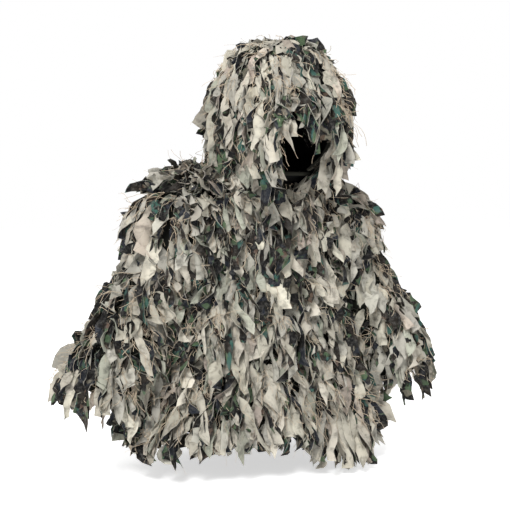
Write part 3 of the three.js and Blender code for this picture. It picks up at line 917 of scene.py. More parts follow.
@dataclass
class StripMaker:
    """Hangs tails of cloth from knots on the netting and turns them into meshes.

    Attributes:
        rests_on: The jacket's forms as one.
        spare: How far strips may stand past the shell's box, as a share of its sides and in metres.
        shortest: The least room that a tail is given.
        zip_pile: Height and reach of the strips over the zip.
        piles: Where else they lie high.
    """

    rests_on: Field
    finishes: Finishes
    seed: int = 11
    steps: int = 9  # points along a tail
    across: int = 4
    thickness: float = 0.0009
    thread_share: float = 0.19  # of the knots that also hold a bundle of loose threads
    threads_in_bundle: int = 8
    thread_radius: float = 0.0005
    fray_radius: float = 0.00026
    spare: tuple[float, float] = (0.03, 0.0085)
    turned_share: float = 0.69  # of the tails that turn their plain side out
    frayed_share: float = 0.55
    shortest: float = 0.034
    zip_pile: tuple[float, float] = (0.014, 0.02)
    piles: tuple[Pile, ...] = (
        Pile((-0.140, -0.010, -0.018), 0.034, 0.085),
        Pile((-0.125, -0.030, 0.040), 0.040, 0.055),
        Pile((0.0, -0.075, 0.325), 0.006, 0.030),
    )

    def __post_init__(self) -> None:
        """Starts the random draws and works out the space that the strips may fill."""
        self.rng = np.random.default_rng(self.seed)
        corners = np.array(CAD_BOX)
        spare = (corners[1] - corners[0]) * self.spare[0] + self.spare[1]
        self.space = corners + np.array([-1, 1])[:, None] * spare

    def within(self, p: np.ndarray, soft: float = 0.02) -> np.ndarray:
        """Points drawn softly into the jacket's space.

        Past a = limit - soft, a coordinate becomes a + soft * tanh((x - a) / soft), at both ends.

        Args:
            p: Points (..., 3).
            soft: How far before the limit it starts.

        Returns:
            The points.
        """
        first, last = self.space[0] + soft, self.space[1] - soft
        p = np.where(p > last, last + soft * np.tanh((p - last) / soft), p)
        return np.where(p < first, first + soft * np.tanh((p - first) / soft), p)

    def hang(self, knots: np.ndarray, normals: np.ndarray, cut: Cut, lengths: np.ndarray,
             bulk: np.ndarray) -> tuple[np.ndarray, np.ndarray]:
        """Lets tails fall from their knots, step by step.

        A tail sets out along the cloth and a little off it. At each step its direction turns towards
        the ground by the cut's weight, wavers, and is pushed out to the height that it lies at.

        Args:
            knots: (n, 3).
            normals: Outward directions there.
            cut: How the tails hang.
            lengths: (n,).
            bulk: How much further off the cloth each may lie, on the strips below it (n,).

        Returns:
            Middle lines (n, steps, 3) and the outward directions along them.
        """
        rng, n = self.rng, len(knots)
        fall = -UP - (-UP * normals).sum(-1, keepdims=True) * normals
        fall = unit(fall + 0.05 * rng.normal(size=(n, 3)))
        beside = np.cross(normals, fall)
        apart = np.where(np.arange(n) % 2, 1, -1) * cut.spread + rng.normal(0, 0.8 * cut.spread, n)
        lean = np.radians(apart)[:, None]
        rise = np.radians(rng.uniform(*cut.rise, n))[:, None]
        heading = unit((fall * np.cos(lean) + beside * np.sin(lean)) * np.cos(rise) + normals * np.sin(rise))
        raised = bulk * rng.random(n)
        lift = rng.uniform(*cut.lift, n) + raised
        step = (lengths / (self.steps - 1))[:, None]
        phase, swing = rng.uniform(0, TAU, (n, 1)), rng.uniform(*cut.sway, (n, 1))
        line, facing = [knots + normals * (KNOT_LIFT + 0.85 * raised)[:, None]], [normals]
        for k in range(1, self.steps):
            here = line[-1] + heading * step
            out = self.rests_on.normal(here)
            height = KNOT_LIFT + lift * min(1.0, 2.5 * k / (self.steps - 1))
            short = np.maximum(height - self.rests_on.distance(here), 0)[:, None]
            heading = unit(here + out * short - line[-1])
            line.append(line[-1] + heading * step)
            waver = beside * np.sin(phase + 1.3 * k) + 0.8 * out * np.cos(1.7 * phase + 1.15 * k)
            heading = unit(heading - cut.weight * UP + waver * swing + rng.normal(0, cut.kink, (n, 3)))
            facing.append(out)
        return np.stack(line, 1), np.stack(facing, 1)

    def bulk(self, p: np.ndarray) -> np.ndarray:
        """How the strips pile up at points: in lumps, over the zip, and at the piles.

        The hood and the wearer's left shoulder have no lumps.
        """
        left_shoulder = (p[:, 0] > 0.08) & (p[:, 2] > -0.17)
        smooth = (p[:, 2] > -0.02) | left_shoulder
        total = np.where(smooth, 0, np.maximum(ripples(p, 0.014, 55, 21), 0))
        height, reach = self.zip_pile
        total = total + np.where((p[:, 1] < 0) & (p[:, 2] < 0), height * np.exp(-(p[:, 0] / reach) ** 2), 0)
        for pile in self.piles:
            total = total + pile.at(p)
        return total

    def surface(self, line: np.ndarray, facing: np.ndarray, widths: np.ndarray, cut: Cut) -> np.ndarray:
        """Grids of points for tails about their middle lines.

        Across the line at share s of the length, a point lies at u times half the width, bowed by u^2
        and turned about the line by the roll and the twist. The width grows from the knot, wavers on
        each edge on its own, and ends square, slanted or pointed.

        Args:
            line: Middle lines (n, steps, 3).
            facing: Outward directions along them.
            widths: (n,).
            cut: How the tails hang.

        Returns:
            Points (n, steps, across, 3).
        """
        rng, n = self.rng, len(line)
        along = unit(np.gradient(line, axis=1))
        flat = unit(np.cross(along, facing))
        off = np.cross(flat, along)
        s = np.linspace(0, 1, self.steps)[None]
        turn = rng.normal(0, cut.roll, (n, 1)) + rng.normal(0, cut.twist, (n, 1)) * s ** 1.4
        turn = np.radians(turn + 16 * np.sin(7 * s + rng.uniform(0, TAU, (n, 1))))[..., None]
        b = flat * np.cos(turn) + off * np.sin(turn)
        m = off * np.cos(turn) - flat * np.sin(turn)
        u = np.linspace(-1, 1, self.across)
        root = 0.45 + 0.55 * smooth_step(s / 0.22)
        blunt = rng.choice([1.0, 0.75, 0.3], n, p=[0.68, 0.20, 0.12])[:, None]
        tip = 1 - (1 - blunt) * smooth_step((s - 0.6) / 0.4)
        edges = 1 + rng.normal(0, 0.09, (n, self.steps, 2))
        edge = np.where(u[None, None] < 0, edges[..., :1], edges[..., 1:])
        half = (widths[:, None] / 2 * root * tip)[..., None] * edge
        bow = (rng.normal(0.15, 0.50, (n, 1)) * (0.5 + s))[..., None] * half * (u ** 2 - 0.4)
        wave = rng.normal(0, 0.45, (n, 1)) * np.sin(9 * s + rng.uniform(0, TAU, (n, 1)))
        bow = bow + wave[..., None] * half * (u ** 3 - 0.5 * u)
        bow = bow + rng.normal(0, 0.0011, half.shape)
        slant = (rng.normal(0, 0.6, (n, 1)) * smooth_step((s - 0.7) / 0.3))[..., None] * half * u
        return (line[:, :, None] + b[:, :, None] * (half * u)[..., None]
                + m[:, :, None] * bow[..., None] + along[:, :, None] * slant[..., None])

    def draw(self, points: np.ndarray, widths: np.ndarray, lengths: np.ndarray) -> MeshData:
        """Tails as one mesh, with the values that the cloth's pattern follows.

        Args:
            points: Grids of points (n, steps, across, 3).
            widths: (n,).
            lengths: (n,).

        Returns:
            The mesh.
        """
        rng, n = self.rng, len(points)
        u = np.linspace(-0.5, 0.5, self.across)
        s = np.linspace(0, 1, self.steps)
        seed = rng.uniform(0, 60, n)
        across, along = u[None, None] * widths[:, None, None], s[None, :, None] * lengths[:, None, None]
        cloth = np.stack(np.broadcast_arrays(across, along, seed[:, None, None]), -1)
        tone = np.stack([rng.random(n), rng.normal(1.0, 0.14, n).clip(0.6, 1.3), rng.random(n)], -1)
        tone = np.broadcast_to(tone[:, None, None], (*cloth.shape[:3], 3))
        turned = (rng.random(n) < self.turned_share)[:, None, None, None]
        points = np.where(turned, points[:, :, ::-1], points)
        return closed_sheets(points, self.thickness, cloth=cloth, tone=tone)

    def threads(self, paths: np.ndarray, lengths: np.ndarray, radius: float) -> MeshData:
        """Loose threads along paths, with the "cloth" vector that their streaks follow."""
        n, points, _ = paths.shape
        along = np.linspace(0, 1, points) * lengths[:, None]
        seed = self.rng.uniform(0, 40, (n, 1)) + 0 * along
        return square_tubes(paths, radius, cloth=np.stack([0 * along, along, seed], -1))

    def fray(self, points: np.ndarray) -> MeshData:
        """A thread that comes away from each edge of each tail and curls.

        At share s the thread is s times its length along its way out, and curl * s^2 to one side.

        Args:
            points: The tails' grids of points.

        Returns:
            The threads.
        """
        rng = self.rng
        points = points[rng.random(len(points)) < self.frayed_share]
        n, made = len(points), []
        for edge, inner in ((0, 1), (-1, -2)):
            k = rng.integers(3, self.steps, n)
            start, beside = points[np.arange(n), k, edge], points[np.arange(n), k, inner]
            above = points[np.arange(n), k - 1, edge]
            way = unit(unit(start - above) + rng.uniform(0.1, 0.9, (n, 1)) * unit(start - beside))
            curl = rng.normal(0, 0.004, (n, 1, 3)) - 0.004 * UP
            length = rng.uniform(0.005, 0.019, n)
            s = np.linspace(0, 1, 4)[None, :, None]
            paths = start[:, None] + way[:, None] * length[:, None, None] * s + curl * s ** 2
            made.append(self.threads(self.within(paths), length, self.fray_radius))
        return made[0].joined(made[1])

    @staticmethod
    def falling(knots: np.ndarray, normals: np.ndarray, line: np.ndarray, bulk: np.ndarray) -> np.ndarray:
        """Which tails fall: none rises far over its knot, and only on flat cloth one ends above it."""
        flat = normals[:, 2].clip(0, 1)
        never_high = line[..., 2].max(1) < knots[:, 2] + 0.030 + bulk
        return never_high & (line[:, -1, 2] < knots[:, 2] + 0.004 + (0.026 + bulk) * flat)

    def pieces(self, name: str, knots: np.ndarray, normals: np.ndarray, cut: Cut, room: np.ndarray,
               replaced: tuple[str, ...], fill: float = 0.0) -> list[bpy.types.Object]:
        """The tails and the loose threads of one row, as pieces that stand for CAD nodes.

        Args:
            name: The row's name.
            knots: (n, 3).
            normals: (n, 3).
            cut: How the tails are cut.
            room: The longest that each tail may be (n,).
            replaced: The CAD nodes that the row stands for.
            fill: The least share of its room that a tail takes.

        Returns:
            One piece of cloth tails and one of threads.
        """
        rng, n = self.rng, len(knots)
        lengths = np.maximum(rng.uniform(*cut.length, n), fill * room * rng.uniform(0.75, 1.0, n))
        lengths = np.minimum(lengths, np.maximum(room, self.shortest))
        bulk = self.bulk(knots)
        line, facing = self.hang(knots, normals, cut, lengths, bulk)
        falls = self.falling(knots, normals, line, bulk)
        knots, normals, lengths, bulk = (v[falls] for v in (knots, normals, lengths, bulk))
        line, facing = line[falls], facing[falls]
        n = len(knots)
        widths = rng.uniform(*cut.width, n)
        points = self.within(self.surface(line, facing, widths, cut))
        tails = make_piece(name, self.draw(points, widths, lengths), self.finishes.strips, 60)
        picked = np.repeat(np.flatnonzero(rng.random(n) < self.thread_share), self.threads_in_bundle)
        loose = replace(cut, lift=(cut.lift[1] * 0.4, cut.lift[1] + 0.004), spread=38.0, weight=0.15,
                        sway=(0.2, 0.8), kink=0.28)
        reach = lengths[picked] * rng.uniform(0.4, 1.05, len(picked))
        paths, _ = self.hang(knots[picked], normals[picked], loose, reach, bulk[picked])
        data = self.threads(self.within(paths), reach, self.thread_radius).joined(self.fray(points))
        threads = make_piece(f"{name}_threads", data, self.finishes.jute, 60)
        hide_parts(*replaced)
        return [tails, threads]


# ---- the jacket's forms
@dataclass(frozen=True)
class Sizes:
    """Sizes that the frame's boxes don't give."""

    cloth: float = 0.005  # wall that the shell's cloth lies in the middle of
    sheet: float = 0.0012
    head_radius: float = 0.095  # of a sleeve's rounded head
    armhole_radius: float = 0.098
    sleeve_angle: float = 28.5  # degrees out from straight down
    sleeve_root: float = 0.058
    sleeve_cuff: float = 0.072
    sleeve_end: float = 0.362
    front_y: float = -0.085
    front_slope: float = 0.10
    seam_y: float = 0.012
    zip_half: float = 0.0166
    face_half: tuple = (0.074, 0.096)
    face_middle: float = 0.108
    crown_half: float = 0.042
    hood_front_y: float = -0.232
    chest: tuple = (0.172, 0.158)  # half its width, and the y of its back
    chest_drop: float = 0.11  # from the shoulder point down to the chest
    around: float = 0.08  # how far past the box the distances are worked out


@dataclass
class Forms:
    """The shapes of body, hood and sleeves, from the frame's boxes and joints."""

    sizes: Sizes

    def __post_init__(self) -> None:
        """Works the shapes out."""
        sizes = self.sizes
        self.torso = self._torso()
        self.hood = self._hood()
        self.sleeves = {side: self._sleeve(side) for side in Side}
        self.heads = {side: Ball(self.sleeves[side].pivot, sizes.head_radius) for side in Side}
        self.armholes = [Ball(self.sleeves[side].pivot, sizes.armhole_radius) for side in Side]
        solids = [self.torso, self.hood, *self.sleeves.values(), *self.heads.values()]
        self.all = Field(solids, np.array(CAD_BOX[0]) - sizes.around, np.array(CAD_BOX[1]) + sizes.around)

    def _torso(self) -> Loft:
        """From the neck over the shoulders, in to the chest and out to the hem."""
        shoulder = joint_point("left_sleeve_raise")
        hem_half, hem_back = high("hem_tape")[0], high("hem_tape")[1]
        chest_z = shoulder[2] - self.sizes.chest_drop
        chest_half, chest_back = self.sizes.chest
        x, z = shoulder[0], shoulder[2]
        rows = [
            (highest("neck_band"), 0.084, 0.054), (0.002, 0.096, 0.062), (-0.008, x - 0.050, 0.082),
            (z + 0.080, x - 0.018, 0.100), (z + 0.050, x + 0.002, 0.120), (z, x, 0.140),
            (chest_z, chest_half, chest_back),
        ]
        for share in np.linspace(0, 1, 13)[1:]:
            rows.append((
                chest_z + (lowest("hem_tape") - chest_z) * share,
                chest_half + (hem_half - chest_half) * share ** 1.4,
                chest_back + (hem_back - chest_back) * share,
            ))
        rows.append((lowest("hem_fringe") - 0.004, hem_half + 0.006, hem_back + 0.002))
        z_rows, half, back = np.array(sorted(rows)).T
        return Loft(z_rows, half, self.sizes.front_y + self.sizes.front_slope * z_rows, back)

    def _hood(self) -> Loft:
        """From its rim up to its crown."""
        rim, top = lowest("hood_neck_hem"), highest("hood_crown_panel")
        half = high("hood_left_panel")[0]
        front, back = self.sizes.hood_front_y, high("hood_crown_panel")[1]
        middle = (front + back) / 2
        shares = np.array([
            (0.0, 0.72, 0.30, 0.82), (0.14, 0.86, 0.66, 0.90), (0.32, 0.97, 0.93, 0.98),
            (0.52, 1.0, 1.0, 1.0), (0.70, 0.94, 0.95, 0.94), (0.84, 0.79, 0.82, 0.77),
            (0.94, 0.55, 0.62, 0.50), (1.0, 0.2, 0.28, 0.1),
        ]).T
        return Loft(rim + (top - rim) * shares[0], half * shares[1],
                    middle + (front - middle) * shares[2], middle + (back - middle) * shares[3])

    def _sleeve(self, side: Side) -> SleeveCone:
        """The cone from the sleeve head to the cuff."""
        size = self.sizes
        pivot = joint_point(f"{side.word}_sleeve_raise")
        start = math.sqrt(size.head_radius ** 2 - size.sleeve_root ** 2) - 0.003
        return SleeveCone(side, pivot, math.radians(size.sleeve_angle), start, size.sleeve_end,
                          size.sleeve_root, size.sleeve_cuff)

    def outside_face(self, p: np.ndarray) -> np.ndarray:
        """How far outside the face opening's oval a point lies, in metres. Behind the face, far."""
        wide, tall = self.sizes.face_half
        size = np.hypot(p[..., 0] / wide, (p[..., 2] - self.sizes.face_middle) / tall)
        return np.where(p[..., 1] < -0.076, (size - 1) * wide, 1.0)

    def clear_of_armholes(self, p: np.ndarray) -> np.ndarray:
        """How far a point lies from the nearer armhole's edge."""
        return np.minimum.reduce([ball.distance(p) for ball in self.armholes])

    def hood_front(self, x: np.ndarray, z: np.ndarray) -> np.ndarray:
        """The hood's front surface at a width and a height."""
        half, depth, middle = self.hood.sections(z)
        y = middle - depth * (1 - np.abs(x / half) ** SECTION_ROUND) ** (1 / SECTION_ROUND)
        return np.stack([x, y, z], -1)


def ripples(p: np.ndarray, size: float, waves: float, seed: int) -> np.ndarray:
    """Soft creases: the mean of six sines that run in random directions.

    Args:
        p: Points (..., 3).
        size: The most that a crease stands out, about.
        waves: Radians per metre.
        seed: For the directions.

    Returns:
        Heights (...).
    """
    rng = np.random.default_rng(seed)
    directions = unit(rng.normal(size=(6, 3))) * waves * rng.uniform(0.5, 1.7, (6, 1))
    return size * np.sin(p @ directions.T + rng.uniform(0, TAU, 6)).mean(-1) * 2


def row_inside(p: np.ndarray, bottom: float, top: float) -> np.ndarray:
    """Which points lie above one height and not above another."""
    return (p[:, 2] > bottom) & (p[:, 2] <= top)


# ---- sub-assemblies
@dataclass
class Assembly:
    """What body, hood and sleeves share.

    Attributes:
        forms: The jacket's shapes.
        finishes: Its materials.
        strips: Hangs its strips.
        body: What the pieces ride on.
        made: The pieces so far.
    """

    forms: Forms
    finishes: Finishes
    strips: StripMaker
    body: str = ""
    made: dict[str, bpy.types.Object] = field(default_factory=dict)
    cord_radius: float = 0.0009
    cord_knot_radius: float = 0.0019

    @property
    def sizes(self) -> Sizes:
        """The sizes that the forms have."""
        return self.forms.sizes

    def add(self, name: str, data: MeshData, material: bpy.types.Material, slot: str,
            *replaced: str) -> bpy.types.Object:
        """Makes a piece that rides on this assembly's body and stands for CAD nodes."""
        piece = make_piece(name, data, material)
        if replaced:
            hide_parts(*replaced)
        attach(piece, self.body)
        self.made[name] = piece
        return piece

    def declare(self, name: str, flat: tuple[float, float], data: MeshData, on: str, *extras: str) -> None:
        """Does nothing: it takes a sheet of cloth and what it hangs from, but declares nothing.

        Args:
            name: The sheet's name. Not used.
            flat: Width and length of the cloth it was cut from. Not used.
            data: Its mesh. Not used.
            on: What it hangs from. Not used.
            *extras: The pieces on it. Not used.
        """

    def net(self, point: Callable[[np.ndarray, np.ndarray], np.ndarray], rows: np.ndarray, count: int,
            keep: Callable[[np.ndarray], np.ndarray]) -> MeshData:
        """Knotted diamond netting on a surface: cords between every second crossing, and the knots.

        Args:
            point: The surface at turns and at rows' values.
            rows: The values at which crossings lie.
            count: Crossings round one row, an even number.
            keep: Which cords stay, by their middle points.

        Returns:
            The cords and the knots as one mesh.
        """
        rng = self.strips.rng
        j, k = np.meshgrid(np.arange(len(rows) - 1), np.arange(count), indexing="ij")
        even = (j + k) % 2 == 0
        j, k = np.concatenate([j[even], j[even]]), np.concatenate([k[even], k[even]])
        step = np.repeat([1, -1], len(j) // 2)
        share = np.array([0.0, 0.5, 1.0])
        turn = (k[:, None] + step[:, None] * share) * TAU / count
        value = rows[j][:, None] * (1 - share) + rows[j + 1][:, None] * share
        paths = point(turn, value)
        sag = rng.normal(0, 0.0012, (len(j), 1, 3)) * np.array([0, 1, 0])[None, :, None]  # in the middle
        paths = (paths + sag)[keep(paths[:, 1])]
        seed = rng.uniform(0, 40, (len(paths), 1)) + np.zeros(3)
        cloth = np.stack([0 * seed, 0 * seed + share * 0.02, seed], -1)
        cords = square_tubes(paths, self.cord_radius, cloth=cloth)
        ends = paths[:, :1] + (paths[:, 1:2] - paths[:, :1]) * np.array([-0.12, 0.05, 0.22])[None, :, None]
        return cords.joined(square_tubes(ends, self.cord_knot_radius, cloth=cloth))


@dataclass
class Torso(Assembly):
    """The body of the jacket: cloth panels, tapes, netting and rows of strips."""

    body: str = "torso"
    knot_spacing: float = 0.0235
    row_spacing: float = 0.0215
    net_cell: float = 0.032
    net_columns: int = 90
    seam_gap: float = 0.002
    armhole_reach: float = 0.008
    band: tuple = (0.0084, 0.0116)  # thick and tall, as the next two are
    tape: tuple = (0.0042, 0.0136)
    loop_tape: tuple = (0.0046, 0.0019)
    loop_inset: float = 0.0025
    loop_corner: float = 8.0  # exponent of the loop's outline: the higher, the squarer
    knots_from_zip: float = 0.009
    piled_above: float = 0.018

    def build(self) -> None:
        """Builds every piece of the body."""
        self.build_netting()
        self.build_tapes()
        self.build_strips()
        self.build_panels()

    @property
    def hem_z(self) -> float:
        """The height of the hem tape's lower edge."""
        return lowest("hem_tape")

    def seam(self, z: np.ndarray) -> np.ndarray:
        """Polar angle of the wearer's left side seam."""
        half, depth, middle = self.forms.torso.sections(z)
        y = self.sizes.seam_y - middle
        return np.arctan2(y, half * (1 - np.abs(y / depth) ** SECTION_ROUND) ** (1 / SECTION_ROUND))

    def zip_edge(self, z: np.ndarray) -> np.ndarray:
        """Polar angle of the front edge on the wearer's left."""
        half, depth, _ = self.forms.torso.sections(z)
        x = self.sizes.zip_half
        return np.arctan2(-depth * (1 - np.abs(x / half) ** SECTION_ROUND) ** (1 / SECTION_ROUND), x)

    def build_panels(self) -> None:
        """The back and the two fronts, cut out at the armholes."""
        z = self.forms.torso.rows(self.hem_z + 0.0146, -0.0006, 0.009)
        seam, edge = self.seam(z), self.zip_edge(z)
        spans = {
            "back_panel": (seam + self.seam_gap, math.pi - seam - self.seam_gap, 84, (0.80, 0.60)),
            "front_left_panel": (edge, seam - self.seam_gap, 42, (0.36, 0.58)),
            "front_right_panel": (-math.pi - seam + self.seam_gap, -math.pi - edge, 42, (0.36, 0.58)),
        }
        for seed, (name, (first, last, columns, flat)) in enumerate(spans.items()):
            share = np.linspace(0, 1, columns)
            turn = first[:, None] + (last - first)[:, None] * share
            points = self.forms.torso.point(turn, z[:, None], -self.sizes.cloth / 2)
            normal = grid_normals(points, False)
            points = points + normal * ripples(points, 0.0012, 95, seed)[..., None]
            data = trimmed_sheet(points, grid_quads(len(z), columns), normal, self.sizes.sheet,
                                 self.forms.clear_of_armholes, self.armhole_reach)
            self.add(name, data, self.finishes.shell, "shell_cloth", name)
            where = name.replace("_panel", "")
            extras = [f"{where}_netting"]
            if where == "back":
                extras += ["hang_loop", "neck_band", "hem_tape"]
            self.declare(name, flat, data, "neck_band", *extras)

    def build_netting(self) -> None:
        """Diamond netting over the back and both fronts."""
        loft = self.forms.torso
        rows = loft.rows(self.hem_z + 0.014, -0.012, self.net_cell / 2)

        def clear(p: np.ndarray) -> np.ndarray:
            """Clear of the armholes and the zip."""
            return (self.forms.clear_of_armholes(p) > 0.004) & ((np.abs(p[:, 0]) > 0.022) | (p[:, 1] > 0))

        seam_y = self.sizes.seam_y
        parts = {
            "back_netting": lambda p: clear(p) & (p[:, 1] > seam_y),
            "front_left_netting": lambda p: clear(p) & (p[:, 1] <= seam_y) & (p[:, 0] > 0),
            "front_right_netting": lambda p: clear(p) & (p[:, 1] <= seam_y) & (p[:, 0] < 0),
        }
        for name, keep in parts.items():
            data = self.net(loft.round_point, rows, self.net_columns, keep)
            self.add(name, data, self.finishes.net, "net_cord", name)

    def round_path(self, z: float, out: float, count: int = 150) -> tuple[np.ndarray, np.ndarray]:
        """A path round the body from one front edge to the other, and its outward directions."""
        edge = float(self.zip_edge(np.array([z]))[0])
        path = self.forms.torso.point(np.linspace(edge, math.pi - edge, count), np.array(z), out)
        return path, unit(self.forms.torso.slope_normal(path) * LEVEL)

    def build_tapes(self) -> None:
        """Neck band, hem tape with its stitches, and the hang loop."""
        webbing = self.finishes.webbing
        path, out = self.round_path(highest("neck_band") / 2, -0.0045)
        self.add("neck_band", swept(path[None], out, UP, *self.band), webbing, "webbing", "neck_band")
        path, out = self.round_path(self.hem_z + 0.007, -self.sizes.cloth / 2, 260)
        self.add("hem_tape", swept(path[None], out, UP, *self.tape), webbing, "webbing", "hem_tape")
        data = stitch_rows(path + out * 0.0021, out, UP, 0.0045)
        self.add("hem_stitches", data, self.finishes.thread, "webbing")
        self.build_hang_loop()

    def build_hang_loop(self) -> None:
        """A flat tape bent to a loop with round corners: |x/a|^n + |z/b|^n = 1."""
        first, last, n = low("hang_loop"), high("hang_loop"), self.loop_corner
        a, _, b = (last - first) / 2 - self.loop_inset
        turn = np.arange(96) * TAU / 96
        c, s = np.cos(turn), np.sin(turn)
        reach = (np.abs(c / a) ** n + np.abs(s / b) ** n) ** (-1 / n)
        path = (first + last) / 2 + np.stack([reach * c, 0 * c, reach * s], -1)
        x, z = (np.sign(v) * np.abs(reach * v / half) ** (n - 1) / half for v, half in ((c, a), (s, b)))
        out = unit(np.stack([x, 0 * x, z], -1))
        data = swept(path[None], out, BACKWARDS, *self.loop_tape, ring=True)
        self.add("hang_loop", data, self.finishes.webbing, "webbing", "hang_loop")

    def shoulder_knots(self, count: int = 90) -> np.ndarray:
        """Knots on the flat tops of the shoulders, at heights found by halving the span they lie in."""
        rng = self.strips.rng
        x = rng.uniform(0.098, 0.205, count) * np.where(np.arange(count) % 2, 1, -1)
        p = np.stack([x, rng.uniform(-0.078, 0.062, count), 0 * x], -1)
        under, over = np.full(count, -0.12), np.full(count, 0.004)
        for _ in range(14):
            p[:, 2] = (under + over) / 2
            outside = self.forms.torso.level(p) > 0
            under, over = np.where(outside, under, p[:, 2]), np.where(outside, p[:, 2], over)
        return p

    def knots(self) -> tuple[np.ndarray, np.ndarray]:
        """Knots all over the body, but not at the zip or where the sleeves are."""
        rng, loft = self.strips.rng, self.forms.torso
        neck = highest("neck_band")
        found = []
        for z in loft.rows(self.hem_z + 0.004, neck - 0.006, self.row_spacing):
            angle = loft.ring(z, self.knot_spacing, rng)
            heights = z + rng.normal(0, 0.005, len(angle))
            found.append(loft.point(angle, np.clip(heights, self.hem_z, neck - 0.002), KNOT_LIFT))
        p = np.concatenate([*found, self.shoulder_knots()])
        at_zip = (np.abs(p[:, 0]) < self.knots_from_zip) & (p[:, 1] < 0)
        limbs = [*self.forms.sleeves.values(), *self.forms.heads.values()]
        clear = np.minimum.reduce([f.distance(p) for f in limbs]) > -0.002
        p = p[~at_zip & clear]
        piled = np.repeat(p[self.strips.bulk(p) > self.piled_above], 3, axis=0)
        p = np.concatenate([p, piled + rng.normal(0, 0.004, piled.shape)])
        return p, loft.slope_normal(p)

    def hem_line(self, p: np.ndarray) -> np.ndarray:
        """How low the strips may hang: a ragged line, lowest at the wearer's left front."""
        turn = np.arctan2(p[:, 1], p[:, 0])
        ragged = 0.010 * np.sin(5 * turn + 0.6) + 0.008 * np.sin(11 * turn) + 0.007 * np.sin(23 * turn + 2)
        left_front = np.exp(-((turn + 0.80) / 0.42) ** 2)
        right_side = np.exp(-((np.abs(turn) - math.pi) / 0.7) ** 2)
        return lowest("hem_fringe") + 0.026 + ragged - 0.090 * left_front - 0.022 * right_side

    def build_strips(self) -> None:
        """The rows of strips, each standing for its CAD row."""
        p, normals = self.knots()
        lower = (lowest(f"body_strips_row_{k}") for k in (2, 3, 4))
        edges = [1.0, highest("body_strips_row_2"), *lower, -1.0]
        stood_for = [
            ("back_strips_row_1", "front_left_strips_row_1", "front_right_strips_row_1"),
            *((f"body_strips_row_{k}",) for k in (2, 3, 4)),
            ("body_strips_row_5", "hem_fringe"),
        ]
        room = p[:, 2] - self.hem_line(p)
        for k, replaced in enumerate(stood_for):
            at = row_inside(p, edges[k + 1], edges[k])
            fill = 1.0 if "hem_fringe" in replaced else 0.0
            name = f"torso_strips_{k + 1}"
            for piece in self.strips.pieces(name, p[at], normals[at], Cut(), room[at], replaced, fill):
                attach(piece, self.body)


@dataclass
class Zip(Assembly):
    """The front zip: tapes, separate teeth, stops and box. Slider and pull are their own bodies."""

    body: str = "torso"
    tooth_pitch: float = 0.0026
    tooth_half: float = 0.0009
    tooth_thickness: float = 0.0027
    tape_thickness: float = 0.0013
    tape_span: tuple = (0.0043, 0.0115)  # from the middle to its inner edge, and its width
    tooth_span: tuple = (0.0013, 0.0024)

    def __post_init__(self) -> None:
        """Finds the zip's directions from its joint, and its top and length from the tape's box."""
        slide = next(j for j in frame["joints"] if j["name"] == "zip_slide")
        self.down = unit(np.array(slide["axis"], float))
        self.out = unit(np.cross(self.down, np.array([1.0, 0.0, 0.0])))
        self.out = self.out * (1 if self.out[1] < 0 else -1)
        top_z = highest("zip_tape_left")
        size = self.sizes
        self.top = np.array([0.0, size.front_y + size.front_slope * top_z + size.cloth / 2, top_z])
        self.length = (top_z - lowest("zip_tape_left")) / -self.down[2] - 0.001

    def build(self) -> None:
        """Builds the tapes and teeth, and dresses the rest."""
        for side in Side:
            self.build_tape(side)
            self.build_teeth(side)
        dress("zip_bottom_box", self.finishes.plastic)
        for node in ("zip_top_stop_left", "zip_top_stop_right", "zip_slider", "zip_pull"):
            dress(node, self.finishes.metal)

    def place(self, x: np.ndarray, out: np.ndarray, along: np.ndarray) -> np.ndarray:
        """Points by distance to the side, outwards and down the zip."""
        x, out, along = np.broadcast_arrays(x, out, along)
        sideways = x[..., None] * np.array([1.0, 0.0, 0.0])
        return self.top + sideways + out[..., None] * self.out + along[..., None] * self.down

    @staticmethod
    def sheets(points: np.ndarray, side: Side, thickness: float) -> MeshData:
        """Closed sheets whose front faces out on either side of the zip."""
        return closed_sheets(points if side is Side.RIGHT else points[:, :, ::-1], thickness)

    def build_tape(self, side: Side) -> None:
        """A woven tape with a beaded inner edge and a faint wave."""
        across = np.linspace(0, 1, 8)
        x = side.value * (self.tape_span[0] + self.tape_span[1] * across)
        along = np.linspace(0, self.length, 220)[:, None]
        out = 0.0003 * np.sin(along * 60 + side.value) + 0.00025 * np.exp(-across * 12)
        data = self.sheets(self.place(x, out, along)[None], side, self.tape_thickness)
        name = f"zip_tape_{side.word}"
        self.add(name, data, self.finishes.zip_tape, "zip_tape", name)

    def build_teeth(self, side: Side) -> None:
        """Moulded teeth, wider at their heads, half a pitch apart from the other row."""
        name = f"zip_teeth_{side.word}"
        first, last = ((self.top[2] - z) / -self.down[2] for z in (highest(name), lowest(name)))
        start = first + 0.0012 + (self.tooth_pitch / 2 if side is Side.LEFT else 0)
        at = np.arange(start, last - 0.001, self.tooth_pitch)[:, None, None]
        across = np.array([0.0, 0.3, 0.65, 1.0])
        half = np.array([0.85, 1.0, 0.7, 0.75]) * self.tooth_half
        along = at + half * np.array([-1, -0.35, 0.35, 1])[:, None]
        x = side.value * (self.tooth_span[0] + self.tooth_span[1] * across)
        data = self.sheets(self.place(x, np.array(0.0), along), side, self.tooth_thickness)
        self.add(name, data, self.finishes.plastic, "tooth_plastic", name)


